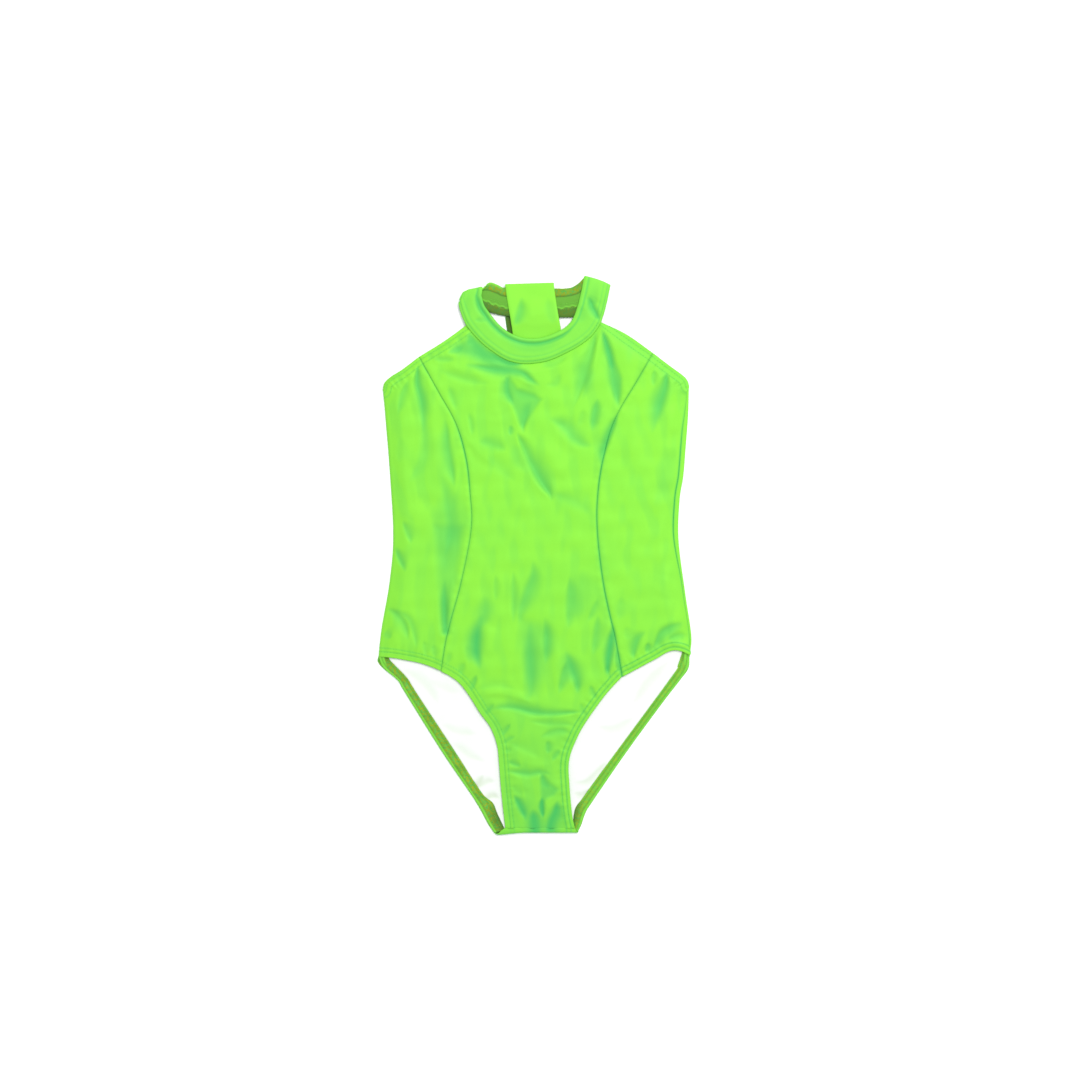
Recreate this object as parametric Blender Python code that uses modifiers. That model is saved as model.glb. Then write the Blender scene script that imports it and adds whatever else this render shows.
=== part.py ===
"""A child's high-necked leotard laid flat on its back, front up, as a set of sewn cloth pieces.

The frame: the origin is on the underside of the back, on the centre line and midway between
neck and crotch. +X is to the right seen from above, +Y runs to the neck, +Z is up from the
surface that the garment lies on. Every table and size below is in millimetres, and MM turns
them into metres when a piece is made.
"""

import math

import bmesh
import bpy
import numpy as np

MM = 0.001

# Cloth walls, the gap kept between layers, and half the gap at a princess seam
WALL = 1.2
LINING_WALL = 1.0
NECKBAND_WALL = 2.0
GAP = 0.3
HALF_SEAM = 0.2

# Heights of the layers, from the surface up
BACK_TOP = WALL
INSIDE_UNDER = BACK_TOP + GAP
LINING_TOP = INSIDE_UNDER + LINING_WALL
HEM_TOP = INSIDE_UNDER + WALL
FRONT_LEAST = HEM_TOP + GAP
FRONT_CROWN = 4.3
COLLAR_UNDER = 3.6
NECKBAND_FOLD_RADIUS = 2.25
NECKBAND_FRONT_TOP = INSIDE_UNDER + 2 * NECKBAND_FOLD_RADIUS

# How far in from each edge the front takes to rise to its crown
SIDE_REACH = 16.0
ARMHOLE_REACH = 14.0
LEG_REACH = 18.0
COLLAR_REACH = 10.0
CROTCH_REACH = 30.0

# The left side of the front, rolled down to the back, and its last columns of faces
SIDE_ROLL = 3.0
SIDE_ROLL_COLUMNS = [0.92, 0.955, 0.98, 0.994, 1.0]
SIDE_ROLL_SHARE = 0.45

# The right side of the back, folded over the front: widest between the two middle heights,
# and laid flat again below FOLD_STARTS_Y, at the leg
SIDE_FOLD_RADIUS = 1.6
SIDE_WRAP_LEAST = 2.2
SIDE_WRAP_MOST = 5.0
WRAP_GROWS_Y = (-30.0, 30.0)
WRAP_SHRINKS_Y = (121.0, 166.0)
FOLD_STARTS_Y = (-100.0, -86.0)
FLAT_STRIP = 1.5
RIGHT_EDGE_UNDER = 2 * SIDE_FOLD_RADIUS - WALL
RIGHT_EDGE_LIFT_Y = (-78.0, -92.0)

# The crotch of the back, folded up to its seam with the front; its left corner hangs lower
CROTCH_FOLD_RADIUS = 2.1
CROTCH_FOLD_Y = -276.5
CROTCH_SEAM_Y = -271.3
CORNER_DROP = 2.6
CORNER_DROP_X = (-28.0, -36.0)

# The strap that holds the back of the neckband in its loop: the outer face's middle line,
# up the outside to the fold, and then from the fold down the inside
STRAP_HALF_WIDTH = 24.3
STRAP_FOLD_RADIUS = 2.5
STRAP_FOLD = {"x": -6.5, "y": 270.0}
STRAP_OUTSIDE = [
    {"x": 0.0, "y": 132.5, "z": 0.0},
    {"x": 0.0, "y": 180.0, "z": 0.0},
    {"x": -3.5, "y": 224.0, "z": 0.0},
    {"x": -6.5, "y": 240.0, "z": 0.0},
    {"x": -6.5, "y": 258.0, "z": 0.0},
]
STRAP_INSIDE = [
    {"x": -5.0, "y": 258.0, "z": 5.0},
    {"x": -3.0, "y": 238.0, "z": 5.0},
    {"x": -2.2, "y": 233.0, "z": 4.5},
    {"x": -1.0, "y": 227.0, "z": 3.3},
    {"x": 0.0, "y": 222.0, "z": 2.7},
    {"x": 0.0, "y": 160.0, "z": 2.7},
    {"x": 0.0, "y": 122.5, "z": 2.7},
]

# Outline of the front, as points (x, y) from the bottom up
SIDE_LEFT = [
    (-157.4, -100.5), (-154.2, -72.0), (-146.3, -26.0), (-142.6, 20.0),
    (-146.0, 84.0), (-150.6, 141.0), (-153.1, 166.0),
]
SIDE_RIGHT = [
    (153.4, -99.0), (155.3, -80.0), (149.3, -38.0), (142.5, 16.0), (143.6, 56.0),
    (147.3, 80.0), (149.6, 108.0), (152.0, 140.0), (152.2, 168.0),
]
ARMHOLE_LEFT = [
    (-153.1, 166.0), (-151.0, 173.5), (-143.6, 180.0), (-134.0, 186.0), (-117.0, 198.8),
]
ARMHOLE_LEFT_TOP = [(-117.0, 198.8), (-91.0, 215.0), (-69.4, 229.8)]
ARMHOLE_RIGHT = [
    (152.2, 168.0), (150.0, 173.5), (146.8, 179.6), (134.0, 189.2), (117.0, 202.6),
]
ARMHOLE_RIGHT_TOP = [(117.0, 202.6), (90.0, 221.5), (66.0, 239.5)]
PRINCESS_LEFT = [
    (-95.0, -114.5), (-88.5, -77.0), (-75.0, -27.0), (-64.8, 27.0),
    (-66.0, 64.0), (-70.0, 98.0), (-80.0, 132.0), (-97.0, 163.0), (-117.0, 198.8),
]
PRINCESS_RIGHT = [
    (86.0, -120.5), (79.0, -82.0), (67.5, -29.0), (61.0, 28.0),
    (62.5, 70.0), (70.0, 110.0), (81.0, 141.0), (101.0, 175.0), (117.0, 202.6),
]
LEG_LEFT = [(-95.0, -114.5), (-133.0, -102.0), (-157.4, -100.5)]
LEG_LEFT_CROTCH = [
    (-30.5, -271.3), (-33.5, -232.0), (-36.5, -191.0), (-46.0, -170.0),
    (-61.0, -146.5), (-76.5, -124.5), (-95.0, -114.5),
]
LEG_RIGHT = [(86.0, -120.5), (114.0, -106.0), (138.0, -93.8), (153.4, -99.0)]
LEG_RIGHT_CROTCH = [
    (38.5, -271.0), (33.5, -232.0), (33.0, -199.0), (43.8, -174.3),
    (62.2, -149.0), (86.0, -120.5),
]

# Outline of the back that the front doesn't share
BACK_LEG_LEFT = [
    (-43.0, -274.4), (-47.8, -268.0), (-61.2, -244.0), (-93.8, -196.0), (-131.3, -136.0),
    (-138.6, -124.0), (-153.0, -112.0), (-158.3, -105.0), (-157.4, -100.5),
]
BACK_LEG_RIGHT = [
    (42.5, -274.4), (45.5, -268.0), (49.8, -256.0), (57.4, -244.0), (90.4, -196.0),
    (125.5, -148.0), (144.0, -124.0), (152.4, -112.0), (153.4, -99.0),
]
BACK_TOP_EDGE = [
    (-153.1, 158.0), (-110.0, 144.0), (-62.0, 133.5), (-26.0, 130.8),
    (26.0, 130.8), (62.0, 133.5), (110.0, 146.0), (152.2, 168.0),
]

# Turned-in hems that show on the inside of the back's leg openings
HEM_LEFT_OUTER = [
    (-157.0, -101.8), (-152.2, -112.3), (-137.9, -124.8), (-130.5, -136.8),
    (-93.1, -196.8), (-60.5, -244.6), (-47.1, -268.4), (-43.5, -273.4),
]
HEM_LEFT_INNER = [
    (-147.0, -103.0), (-141.0, -109.5), (-129.0, -122.0), (-119.5, -137.0),
    (-80.5, -196.5), (-55.0, -235.5), (-44.5, -245.0), (-40.0, -254.0), (-35.0, -270.0),
]
HEM_RIGHT_OUTER = [
    (152.9, -101.2), (151.8, -112.0), (143.4, -124.8), (124.9, -148.6),
    (89.9, -196.8), (56.8, -244.8), (49.0, -257.0), (44.9, -268.0), (42.5, -273.4),
]
HEM_RIGHT_INNER = [
    (146.0, -97.8), (141.5, -110.0), (135.7, -120.7), (71.4, -208.0),
    (54.5, -231.0), (46.0, -243.0), (38.5, -253.5), (34.5, -270.0),
]
LINING_TOP_Y = -88.0
LINING_TOP_LEFT_X = -134.0
LINING_TOP_RIGHT_X = 132.0
LINING_END_Y = -268.5

# The neckband's sections: the edge sewn to the front, then the edge at the neck
NECKBAND_FRONT_SECTIONS = [
    {"seam": (-77.3, 253.0), "neck": (-53.3, 262.0)},
    {"seam": (-75.0, 244.0), "neck": (-51.0, 251.0)},
    {"seam": (-69.2, 230.6), "neck": (-46.5, 243.0)},
    {"seam": (-56.6, 215.6), "neck": (-38.2, 231.7)},
    {"seam": (-42.8, 204.2), "neck": (-29.0, 223.0)},
    {"seam": (-29.0, 196.0), "neck": (-20.0, 218.0)},
    {"seam": (-15.0, 192.6), "neck": (-10.0, 215.4)},
    {"seam": (0.0, 193.0), "neck": (1.0, 215.0)},
    {"seam": (14.6, 196.3), "neck": (11.0, 217.4)},
    {"seam": (30.7, 203.5), "neck": (20.0, 221.6)},
    {"seam": (44.4, 211.2), "neck": (28.5, 226.8)},
    {"seam": (55.9, 220.5), "neck": (35.0, 233.5)},
    {"seam": (63.4, 231.0), "neck": (38.6, 240.5)},
    {"seam": (66.2, 238.6), "neck": (40.6, 246.8)},
    {"seam": (68.0, 244.0), "neck": (42.3, 252.0)},
    {"seam": (71.0, 256.0), "neck": (45.4, 264.5)},
]
NECKBAND_BACK_SECTIONS = [
    {"seam": (69.0, 256.0), "neck": (43.0, 272.0)},
    {"seam": (58.0, 245.0), "neck": (36.0, 267.8)},
    {"seam": (41.0, 239.5), "neck": (28.0, 266.6)},
    {"seam": (23.0, 238.6), "neck": (19.0, 266.7)},
    {"seam": (-4.0, 239.0), "neck": (-6.0, 267.0)},
    {"seam": (-31.0, 240.3), "neck": (-31.0, 267.3)},
    {"seam": (-43.0, 243.0), "neck": (-38.5, 270.0)},
    {"seam": (-56.0, 247.5), "neck": (-45.5, 271.3)},
]
# Where the ring of the neckband folds over: its two edges, the way out of the fold, and how
# far the fold bulges at each of the points from the seam to the neck
FOLD_TAIL = 0.6
FOLD_LEFT = {
    "seam": (-76.0, 258.5), "neck": (-52.0, 271.5), "out": (-0.476, 0.879),
    "bulge": (0.0, 3.2, 2.6, 1.2, 0.0),
}
FOLD_RIGHT = {
    "seam": (74.3, 271.0), "neck": (49.0, 280.0), "out": (0.335, 0.942),
    "bulge": (0.0, 0.8, 1.0, 0.6, 0.0),
}
BULGE_REACH = 20.0
FRONT_COLLAR_SECTIONS = slice(2, 14)

# The front's largest folds, as (x, y) from and to: how wide each side of the line, how high
# or, where negative, how deep, and how far the line bows to the left of the way that it runs
FOLDS = [
    {"from": (69, 228), "to": (80, 160), "width": 7, "height": -1.3, "bow": 0},
    {"from": (62, 226), "to": (52, 168), "width": 8, "height": 2.2, "bow": 2},
    {"from": (57, 220), "to": (37, 146), "width": 7, "height": -1.1, "bow": 3},
    {"from": (-62, 206), "to": (-28, 194), "width": 7, "height": -1.2, "bow": 2},
    {"from": (-68, 184), "to": (0, 170), "width": 8, "height": -1.2, "bow": -7},
    {"from": (-34, 172), "to": (-14, 132), "width": 10, "height": -1.2, "bow": 4},
    {"from": (-19, 124), "to": (17, 58), "width": 8, "height": -1.3, "bow": 3},
    {"from": (2, 120), "to": (40, 70), "width": 18, "height": 1.4, "bow": 4},
    {"from": (-119, 186), "to": (-108, 110), "width": 9, "height": -1.1, "bow": -3},
    {"from": (-92, 132), "to": (-82, 76), "width": 8, "height": -0.9, "bow": 0},
    {"from": (-90, 60), "to": (-89, -74), "width": 10, "height": -1.2, "bow": 3},
    {"from": (129, 180), "to": (118, 110), "width": 10, "height": -1.2, "bow": 2},
    {"from": (-50, -42), "to": (-56, -114), "width": 8, "height": -1.2, "bow": 2},
    {"from": (-2, -12), "to": (-6, -142), "width": 10, "height": -1.2, "bow": 4},
    {"from": (9, -66), "to": (8, -110), "width": 7, "height": -1.0, "bow": 0},
    {"from": (36, -24), "to": (34, -92), "width": 9, "height": -1.0, "bow": 0},
    {"from": (30, -98), "to": (42, -138), "width": 8, "height": -1.0, "bow": 2},
    {"from": (-30, -152), "to": (52, -158), "width": 7, "height": -1.2, "bow": -3},
    {"from": (-28, -214), "to": (16, -218), "width": 7, "height": -1.0, "bow": 2},
    {"from": (4, -222), "to": (8, -262), "width": 7, "height": -1.3, "bow": 0},
    {"from": (-142, -58), "to": (-126, -94), "width": 9, "height": -1.0, "bow": -4},
    {"from": (146, -74), "to": (112, -96), "width": 8, "height": -1.1, "bow": 4},
]

# A fold fades in and out over these shares of its length
FOLD_FADE_IN = 0.25
FOLD_FADE_OUT = 0.3

# Counts of faces, or of the rows of points, along and across the pieces
SMOOTH_STEPS = 12
LINE_COUNT = 40
FRONT_ACROSS = 26
FRONT_LEG_ROWS = 18
SIDE_ACROSS = 12
SIDE_ROWS = 31
BACK_ACROSS = 8
BACK_LEG_ROWS = 16
HEM_ROWS = 26
HEM_COLUMNS = 4
LINING_COLUMNS = 9
NECKBAND_FRONT_ROWS = 34
NECKBAND_BACK_ROWS = 30
STRAP_COLUMNS = 6
WRAP_COLUMNS = 11
FOLD_STEPS = 6


def smooth_line(points, count):
    """Points evenly spaced along a smooth curve through the given points."""
    knots = np.array(points, float)
    padded = np.vstack([2 * knots[0] - knots[1], knots, 2 * knots[-1] - knots[-2]])
    share = np.linspace(0, 1, SMOOTH_STEPS, endpoint=False)[:, None]
    dense = []
    for before, start, end, after in zip(padded, padded[1:], padded[2:], padded[3:]):
        bend = 2 * before - 5 * start + 4 * end - after
        twist = 3 * start - before - 3 * end + after
        curve = 2 * start + (end - before) * share + bend * share**2 + twist * share**3
        dense.append(curve / 2)
    dense = np.vstack(dense + [knots[-1:]])
    steps = np.linalg.norm(np.diff(dense, axis=0), axis=1)
    along = np.concatenate([[0], np.cumsum(steps)])
    wanted = np.linspace(0, along[-1], count)
    return np.stack([np.interp(wanted, along, column) for column in dense.T], axis=1)


def beside(line, distance):
    """The line moved sideways by a distance, to the right of the way that it runs."""
    heading = np.gradient(line, axis=0)
    heading = heading / np.linalg.norm(heading, axis=1)[:, None]
    return line + np.stack([heading[:, 1], -heading[:, 0]], axis=1) * distance


def joined(*lines):
    """Several lines end to end as one, each shared corner kept once."""
    return np.vstack([lines[0], *(line[1:] for line in lines[1:])])


def patch(bottom, top, left, right, across=None):
    """A net of points (rows, columns, 2) between four edge lines that share their corners."""
    rows, columns = len(left), len(bottom)
    u = (np.linspace(0, 1, columns) if across is None else across)[None, :, None]
    v = np.linspace(0, 1, rows)[:, None, None]
    ruled = (1 - u) * left[:, None] + u * right[:, None]
    lofted = (1 - v) * bottom[None] + v * top[None]
    corners = (1 - v) * ((1 - u) * bottom[0] + u * bottom[-1])
    corners = corners + v * ((1 - u) * top[0] + u * top[-1])
    return ruled + lofted - corners


def ease(share):
    """A smooth step from 0 to 1."""
    share = np.clip(share, 0, 1)
    return share * share * (3 - 2 * share)


def ease_between(value, span):
    """A smooth step from 0 at the span's first value to 1 at its second."""
    return ease((value - span[0]) / (span[1] - span[0]))


def distance_to(line, x, y):
    """How far each point (x, y) is from a line of points."""
    place = np.stack([x, y], axis=-1)[..., None, :]
    start, step = line[:-1], np.diff(line, axis=0)
    share = ((place - start) * step).sum(-1) / (step * step).sum(-1)
    nearest = start + np.clip(share, 0, 1)[..., None] * step
    return np.linalg.norm(place - nearest, axis=-1).min(-1)


def edge_x(line, y):
    """Where a line that runs upwards stands at height y."""
    return np.interp(y, line[:, 1], line[:, 0])


SIDE_LEFT_LINE = smooth_line(SIDE_LEFT, LINE_COUNT)
SIDE_RIGHT_LINE = smooth_line(SIDE_RIGHT, LINE_COUNT)


def collar_seam(count):
    """The front's edge along the neckband, a seam's gap below the band."""
    seams = [row["seam"] for row in NECKBAND_FRONT_SECTIONS[FRONT_COLLAR_SECTIONS]]
    return beside(smooth_line(seams, count), 2 * GAP)


def side_wrap(y):
    """How far the back comes over the front at the right side, at height y."""
    share = ease_between(y, WRAP_GROWS_Y) * (1 - ease_between(y, WRAP_SHRINKS_Y))
    return SIDE_WRAP_LEAST + (SIDE_WRAP_MOST - SIDE_WRAP_LEAST) * share


def fold_height(x, y):
    """The height that all folds together add at (x, y)."""
    total = np.zeros_like(x)
    for fold in FOLDS:
        start, end = np.array(fold["from"], float), np.array(fold["to"], float)
        run = end - start
        length = np.linalg.norm(run)
        run = run / length
        along = ((x - start[0]) * run[0] + (y - start[1]) * run[1]) / length
        off = (x - start[0]) * -run[1] + (y - start[1]) * run[0]
        off = off - fold["bow"] * 4 * along * (1 - along)
        fade = ease(along / FOLD_FADE_IN + 0.35) * ease((1 - along) / FOLD_FADE_OUT + 0.2)
        total += fold["height"] * fade * np.exp(-((off / (0.6 * fold["width"])) ** 2))
    return total


def front_under(x, y):
    """Height of the front's inner face: it rests on its edges and rises between them."""
    legs = np.minimum(
        distance_to(smooth_line(LEG_LEFT_CROTCH + LEG_LEFT[1:], LINE_COUNT), x, y),
        distance_to(smooth_line(LEG_RIGHT_CROTCH + LEG_RIGHT[1:], LINE_COUNT), x, y),
    )
    armholes = np.minimum(
        distance_to(smooth_line(ARMHOLE_LEFT + ARMHOLE_LEFT_TOP[1:], LINE_COUNT), x, y),
        distance_to(smooth_line(ARMHOLE_RIGHT + ARMHOLE_RIGHT_TOP[1:], LINE_COUNT), x, y),
    )
    right = np.maximum(edge_x(SIDE_RIGHT_LINE, y) - x - SIDE_WRAP_MOST, 0)
    lift = ease_between(y, RIGHT_EDGE_LIFT_Y)
    right_low = RIGHT_EDGE_UNDER + (FRONT_LEAST - RIGHT_EDGE_UNDER) * lift
    edges = [
        (x - edge_x(SIDE_LEFT_LINE, y), INSIDE_UNDER, SIDE_REACH),
        (right, right_low, SIDE_REACH),
        (armholes, INSIDE_UNDER, ARMHOLE_REACH),
        (legs, FRONT_LEAST, LEG_REACH),
        (distance_to(collar_seam(LINE_COUNT), x, y), COLLAR_UNDER, COLLAR_REACH),
        (y - CROTCH_SEAM_Y, FRONT_LEAST, CROTCH_REACH),
    ]
    rises = [ease(away / reach) for away, _, reach in edges]
    heights = [low + (FRONT_CROWN - low) * rise for (_, low, _), rise in zip(edges, rises)]
    settled = np.min(heights, axis=0)
    free = np.min(rises, axis=0)
    folded = settled + fold_height(x, y) * ease(free * 2 + 0.15)
    return np.maximum(folded, np.minimum(settled, FRONT_LEAST))


def front_points(net):
    """The front's outer face over a net of (x, y), with the left side rolled down."""
    x, y = net[..., 0], net[..., 1]
    top = front_under(x, y) + WALL
    inset = np.clip((x - edge_x(SIDE_LEFT_LINE, y)) / SIDE_ROLL, 0, 1)
    low = np.minimum(INSIDE_UNDER, top)
    rolled = low + (top - low) * np.sqrt(1 - (1 - inset) ** 2)
    return np.stack([x, y, rolled], axis=-1)


def fold_over(distance, radius):
    """How far inside a folded edge a cloth point lies, and its height.

    The distance runs along the cloth from the outermost point of the fold, positive on the
    lower layer and negative on the upper one.
    """
    quarter = math.pi * radius / 2
    turn = np.clip(distance / radius, -math.pi / 2, math.pi / 2)
    straight = np.maximum(np.abs(distance) - quarter, 0)
    return radius * (1 - np.cos(turn)) + straight, radius * (1 - np.sin(turn))


def material(name, colour, roughness, sheen):
    """A plain cloth material."""
    made = bpy.data.materials.new(name)
    made.use_nodes = True
    shader = made.node_tree.nodes["Principled BSDF"]
    shader.inputs["Base Color"].default_value = (*colour, 1)
    shader.inputs["Roughness"].default_value = roughness
    shader.inputs["Metallic"].default_value = 0
    shader.inputs["Sheen Weight"].default_value = sheen
    return made


def cloth(name, points, wall, finish, collection, faces_down=False):
    """One cloth piece: a net of outer points (rows, columns, 3) given its wall inwards."""
    rows, columns = points.shape[:2]
    mesh = bpy.data.meshes.new(name)
    net = bmesh.new()
    bmesh.ops.create_grid(net, x_segments=columns - 1, y_segments=rows - 1, size=1)
    net.verts.ensure_lookup_table()
    for vertex, place in zip(net.verts, points.reshape(-1, 3)):
        vertex.co = place * MM
    if faces_down:
        bmesh.ops.reverse_faces(net, faces=net.faces)
    net.to_mesh(mesh)
    net.free()
    mesh.shade_smooth()
    mesh.materials.append(finish)
    piece = bpy.data.objects.new(name, mesh)
    collection.objects.link(piece)
    thickness = piece.modifiers.new("Cloth wall", "SOLIDIFY")
    thickness.thickness = wall * MM
    thickness.offset = -1
    thickness.use_rim = True
    return piece


def front_centre():
    """The panel between the princess seams, from the neckband to the crotch seam."""
    left = joined(
        smooth_line(LEG_LEFT_CROTCH, FRONT_LEG_ROWS),
        beside(smooth_line(PRINCESS_LEFT, SIDE_ROWS), HALF_SEAM),
    )
    right = joined(
        smooth_line(LEG_RIGHT_CROTCH, FRONT_LEG_ROWS),
        beside(smooth_line(PRINCESS_RIGHT, SIDE_ROWS), -HALF_SEAM),
    )
    armhole = FRONT_ACROSS // 5
    collar = collar_seam(FRONT_ACROSS - 2 * armhole + 1)
    top = joined(
        smooth_line([left[-1], *ARMHOLE_LEFT_TOP[1:-1], collar[0]], armhole + 1),
        collar,
        smooth_line([collar[-1], *ARMHOLE_RIGHT_TOP[-2:0:-1], right[-1]], armhole + 1),
    )
    bottom = np.linspace(left[0], right[0], FRONT_ACROSS + 1)
    bottom[:, 1] = CROTCH_SEAM_Y + GAP
    left[0], right[0] = bottom[0], bottom[-1]
    return front_points(patch(bottom, top, left, right))


def front_side(inner, leg, armhole, side, across):
    """A side front panel, between its princess seam and its side seam."""
    bottom = smooth_line([inner[0], *leg, side[0]], len(across))
    top = smooth_line([inner[-1], *armhole, side[-1]], len(across))
    return patch(bottom, top, inner, side, across)


def front_side_left():
    """The left side front, rolled down to meet the back along its outer edge."""
    even = np.linspace(0, SIDE_ROLL_COLUMNS[0], SIDE_ACROSS - 2)
    across = np.concatenate([even, SIDE_ROLL_COLUMNS[1:]])
    inner = beside(smooth_line(PRINCESS_LEFT, SIDE_ROWS), -HALF_SEAM)
    side = smooth_line(SIDE_LEFT, SIDE_ROWS)
    net = front_side(inner, LEG_LEFT[1:-1], ARMHOLE_LEFT[-2:0:-1], side, across)
    points = front_points(net)
    # The outermost column drops straight down, so that the edge of the wall faces the back
    drop = points[:, -1:].copy()
    points[:, -1, 2] += SIDE_ROLL_SHARE * (points[:, -3, 2] - points[:, -1, 2])
    return np.concatenate([points, drop], axis=1)[:, ::-1]


def front_side_right():
    """The right side front, ending at a side seam that shows inside the garment's edge."""
    across = np.linspace(0, 1, SIDE_ACROSS)
    inner = beside(smooth_line(PRINCESS_RIGHT, SIDE_ROWS), HALF_SEAM)
    side = smooth_line(SIDE_RIGHT, SIDE_ROWS)
    side[:, 0] -= side_wrap(side[:, 1]) + 2 * GAP
    net = front_side(inner, LEG_RIGHT[1:-1], ARMHOLE_RIGHT[-2:0:-1], side, across)
    return front_points(net)


def back_panel():
    """The back: flat underneath, folded over the front at the crotch and the right side."""
    side_left = smooth_line([*SIDE_LEFT[:-1], BACK_TOP_EDGE[0]], SIDE_ROWS)
    left = joined(smooth_line(BACK_LEG_LEFT, BACK_LEG_ROWS), side_left)
    side_right = smooth_line(SIDE_RIGHT, SIDE_ROWS)
    right = joined(smooth_line(BACK_LEG_RIGHT, BACK_LEG_ROWS), side_right)

    # How far each column of the folded side lies inside the edge, where it is folded at all
    radius = SIDE_FOLD_RADIUS
    quarter = math.pi * radius / 2
    folded = ease_between(right[:, 1], FOLD_STARTS_Y)
    rim = np.linspace(2 * quarter + SIDE_WRAP_MOST + FLAT_STRIP, 0, WRAP_COLUMNS)
    start = folded * (2 * quarter + side_wrap(right[:, 1]) - radius) - quarter
    inset, height = fold_over(rim[None] - start[:, None], radius)
    inset = inset - (1 - folded)[:, None] * radius
    inner = right - np.stack([inset[:, 0], np.zeros(len(right))], axis=1)

    bottom = np.linspace(left[0], inner[0], BACK_ACROSS + 1)
    top = smooth_line([left[-1], *BACK_TOP_EDGE[1:-1], inner[-1]], BACK_ACROSS + 1)
    net = patch(bottom, top, left, inner)
    flat = np.concatenate([net, np.zeros((*net.shape[:2], 1))], axis=2)
    side_x = right[:, :1] - inset[:, 1:]
    side_y = np.repeat(right[:, 1:], WRAP_COLUMNS - 1, axis=1)
    turned = np.stack([side_x, side_y, height[:, 1:]], axis=-1)
    body = np.concatenate([flat, turned], axis=1)
    return np.concatenate([crotch_fold(body[0]), body])


def crotch_fold(first):
    """Rows round the fold at the crotch, from the seam on top down to the back's first row."""
    radius = CROTCH_FOLD_RADIUS
    quarter = math.pi * radius / 2
    reach = quarter + (CROTCH_SEAM_Y - CROTCH_FOLD_Y) - radius
    low, high = LEG_LEFT_CROTCH[0][0], LEG_RIGHT_CROTCH[0][0]
    place = (first[:, 0] - first[0, 0]) / (first[-1, 0] - first[0, 0])
    seam_x = low + (high - low) * place
    rows = []
    for distance in (-reach, *np.linspace(-quarter, quarter, FOLD_STEPS)[:-1]):
        share = ease((distance + quarter) / (2 * quarter))
        depth, rise = fold_over(distance, radius)
        x = share * first[:, 0] + (1 - share) * seam_x
        drop = CORNER_DROP * ease_between(x, CORNER_DROP_X) * max(1 - depth / radius, 0)
        rows.append(np.stack([x, CROTCH_FOLD_Y + depth - drop, np.full(len(x), rise)], axis=1))
    return np.array(rows)


def strip(outer, inner, columns, height):
    """A level strip of cloth between two long edges."""
    share = np.linspace(0, 1, columns)[None, :, None]
    net = (1 - share) * outer[:, None] + share * inner[:, None]
    return np.concatenate([net, np.full((*net.shape[:2], 1), height)], axis=2)


def lining():
    """The white lining inside the back, between the two leg hems."""
    left = beside(smooth_line(HEM_LEFT_INNER, HEM_ROWS), -GAP)[::-1]
    right = beside(smooth_line(HEM_RIGHT_INNER, HEM_ROWS), GAP)[::-1]
    left = np.vstack([left, (LINING_TOP_LEFT_X, LINING_TOP_Y)])
    right = np.vstack([right, (LINING_TOP_RIGHT_X, LINING_TOP_Y)])
    net = strip(left, right, LINING_COLUMNS, LINING_TOP)
    net[0, :, 1] = LINING_END_Y
    return net


def turned_over(fold):
    """Sections round the fold at one end of the neckband, from its top to its underside."""
    out = np.array(fold["out"])
    radius = NECKBAND_FOLD_RADIUS
    seam, neck = (np.array(fold[edge]) - out * radius for edge in ("seam", "neck"))
    rows = []
    for turn in np.linspace(0, math.pi, FOLD_STEPS + 1):
        away = out * radius * math.sin(turn)
        height = NECKBAND_FRONT_TOP - radius * (1 - math.cos(turn))
        rows.append((seam + away, neck + away, height))
    rows.append((seam - out * FOLD_TAIL, neck - out * FOLD_TAIL, INSIDE_UNDER))
    return rows


def band_points(rows):
    """The neckband's net over sections (seam edge, neck edge, height), its ends bulged."""
    share = np.linspace(0, 1, len(FOLD_LEFT["bulge"]))[:, None]
    nets = []
    for seam, neck, height in rows:
        edge = (1 - share) * np.array(seam) + share * np.array(neck)
        for fold in (FOLD_LEFT, FOLD_RIGHT):
            middle = (np.array(fold["seam"]) + np.array(fold["neck"])) / 2
            near = 1 - ease(np.linalg.norm(middle - edge.mean(axis=0)) / BULGE_REACH)
            edge = edge + near * np.array(fold["bulge"])[:, None] * np.array(fold["out"])
        nets.append(np.concatenate([edge, np.full((len(edge), 1), height)], axis=1))
    return np.array(nets)


def smooth_sections(sections, count):
    """The two edges of a banded piece, smoothed along its length."""
    line = smooth_line([(*row["seam"], *row["neck"]) for row in sections], count)
    return line[:, :2], line[:, 2:]


def neckband_front():
    """The front of the neckband, with both ends of its ring folded under."""
    seam, neck = smooth_sections(NECKBAND_FRONT_SECTIONS, NECKBAND_FRONT_ROWS)
    middle = [(a, b, NECKBAND_FRONT_TOP) for a, b in zip(seam, neck)]
    rows = turned_over(FOLD_LEFT)[::-1] + middle + turned_over(FOLD_RIGHT)
    return band_points(rows)[:, ::-1]


def neckband_back():
    """The back of the neckband, lying inside up behind the neck opening."""
    ends = []
    for fold in (FOLD_RIGHT, FOLD_LEFT):
        seam, neck, _ = turned_over(fold)[-1]
        away = np.array(fold["out"]) * GAP
        ends.append({"seam": seam - away, "neck": neck - away})
    sections = [ends[0], *NECKBAND_BACK_SECTIONS, ends[1]]
    seam, neck = smooth_sections(sections, NECKBAND_BACK_ROWS)
    rows = [(a, b, INSIDE_UNDER) for a, b in zip(seam, neck)]
    return band_points(rows)


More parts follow.
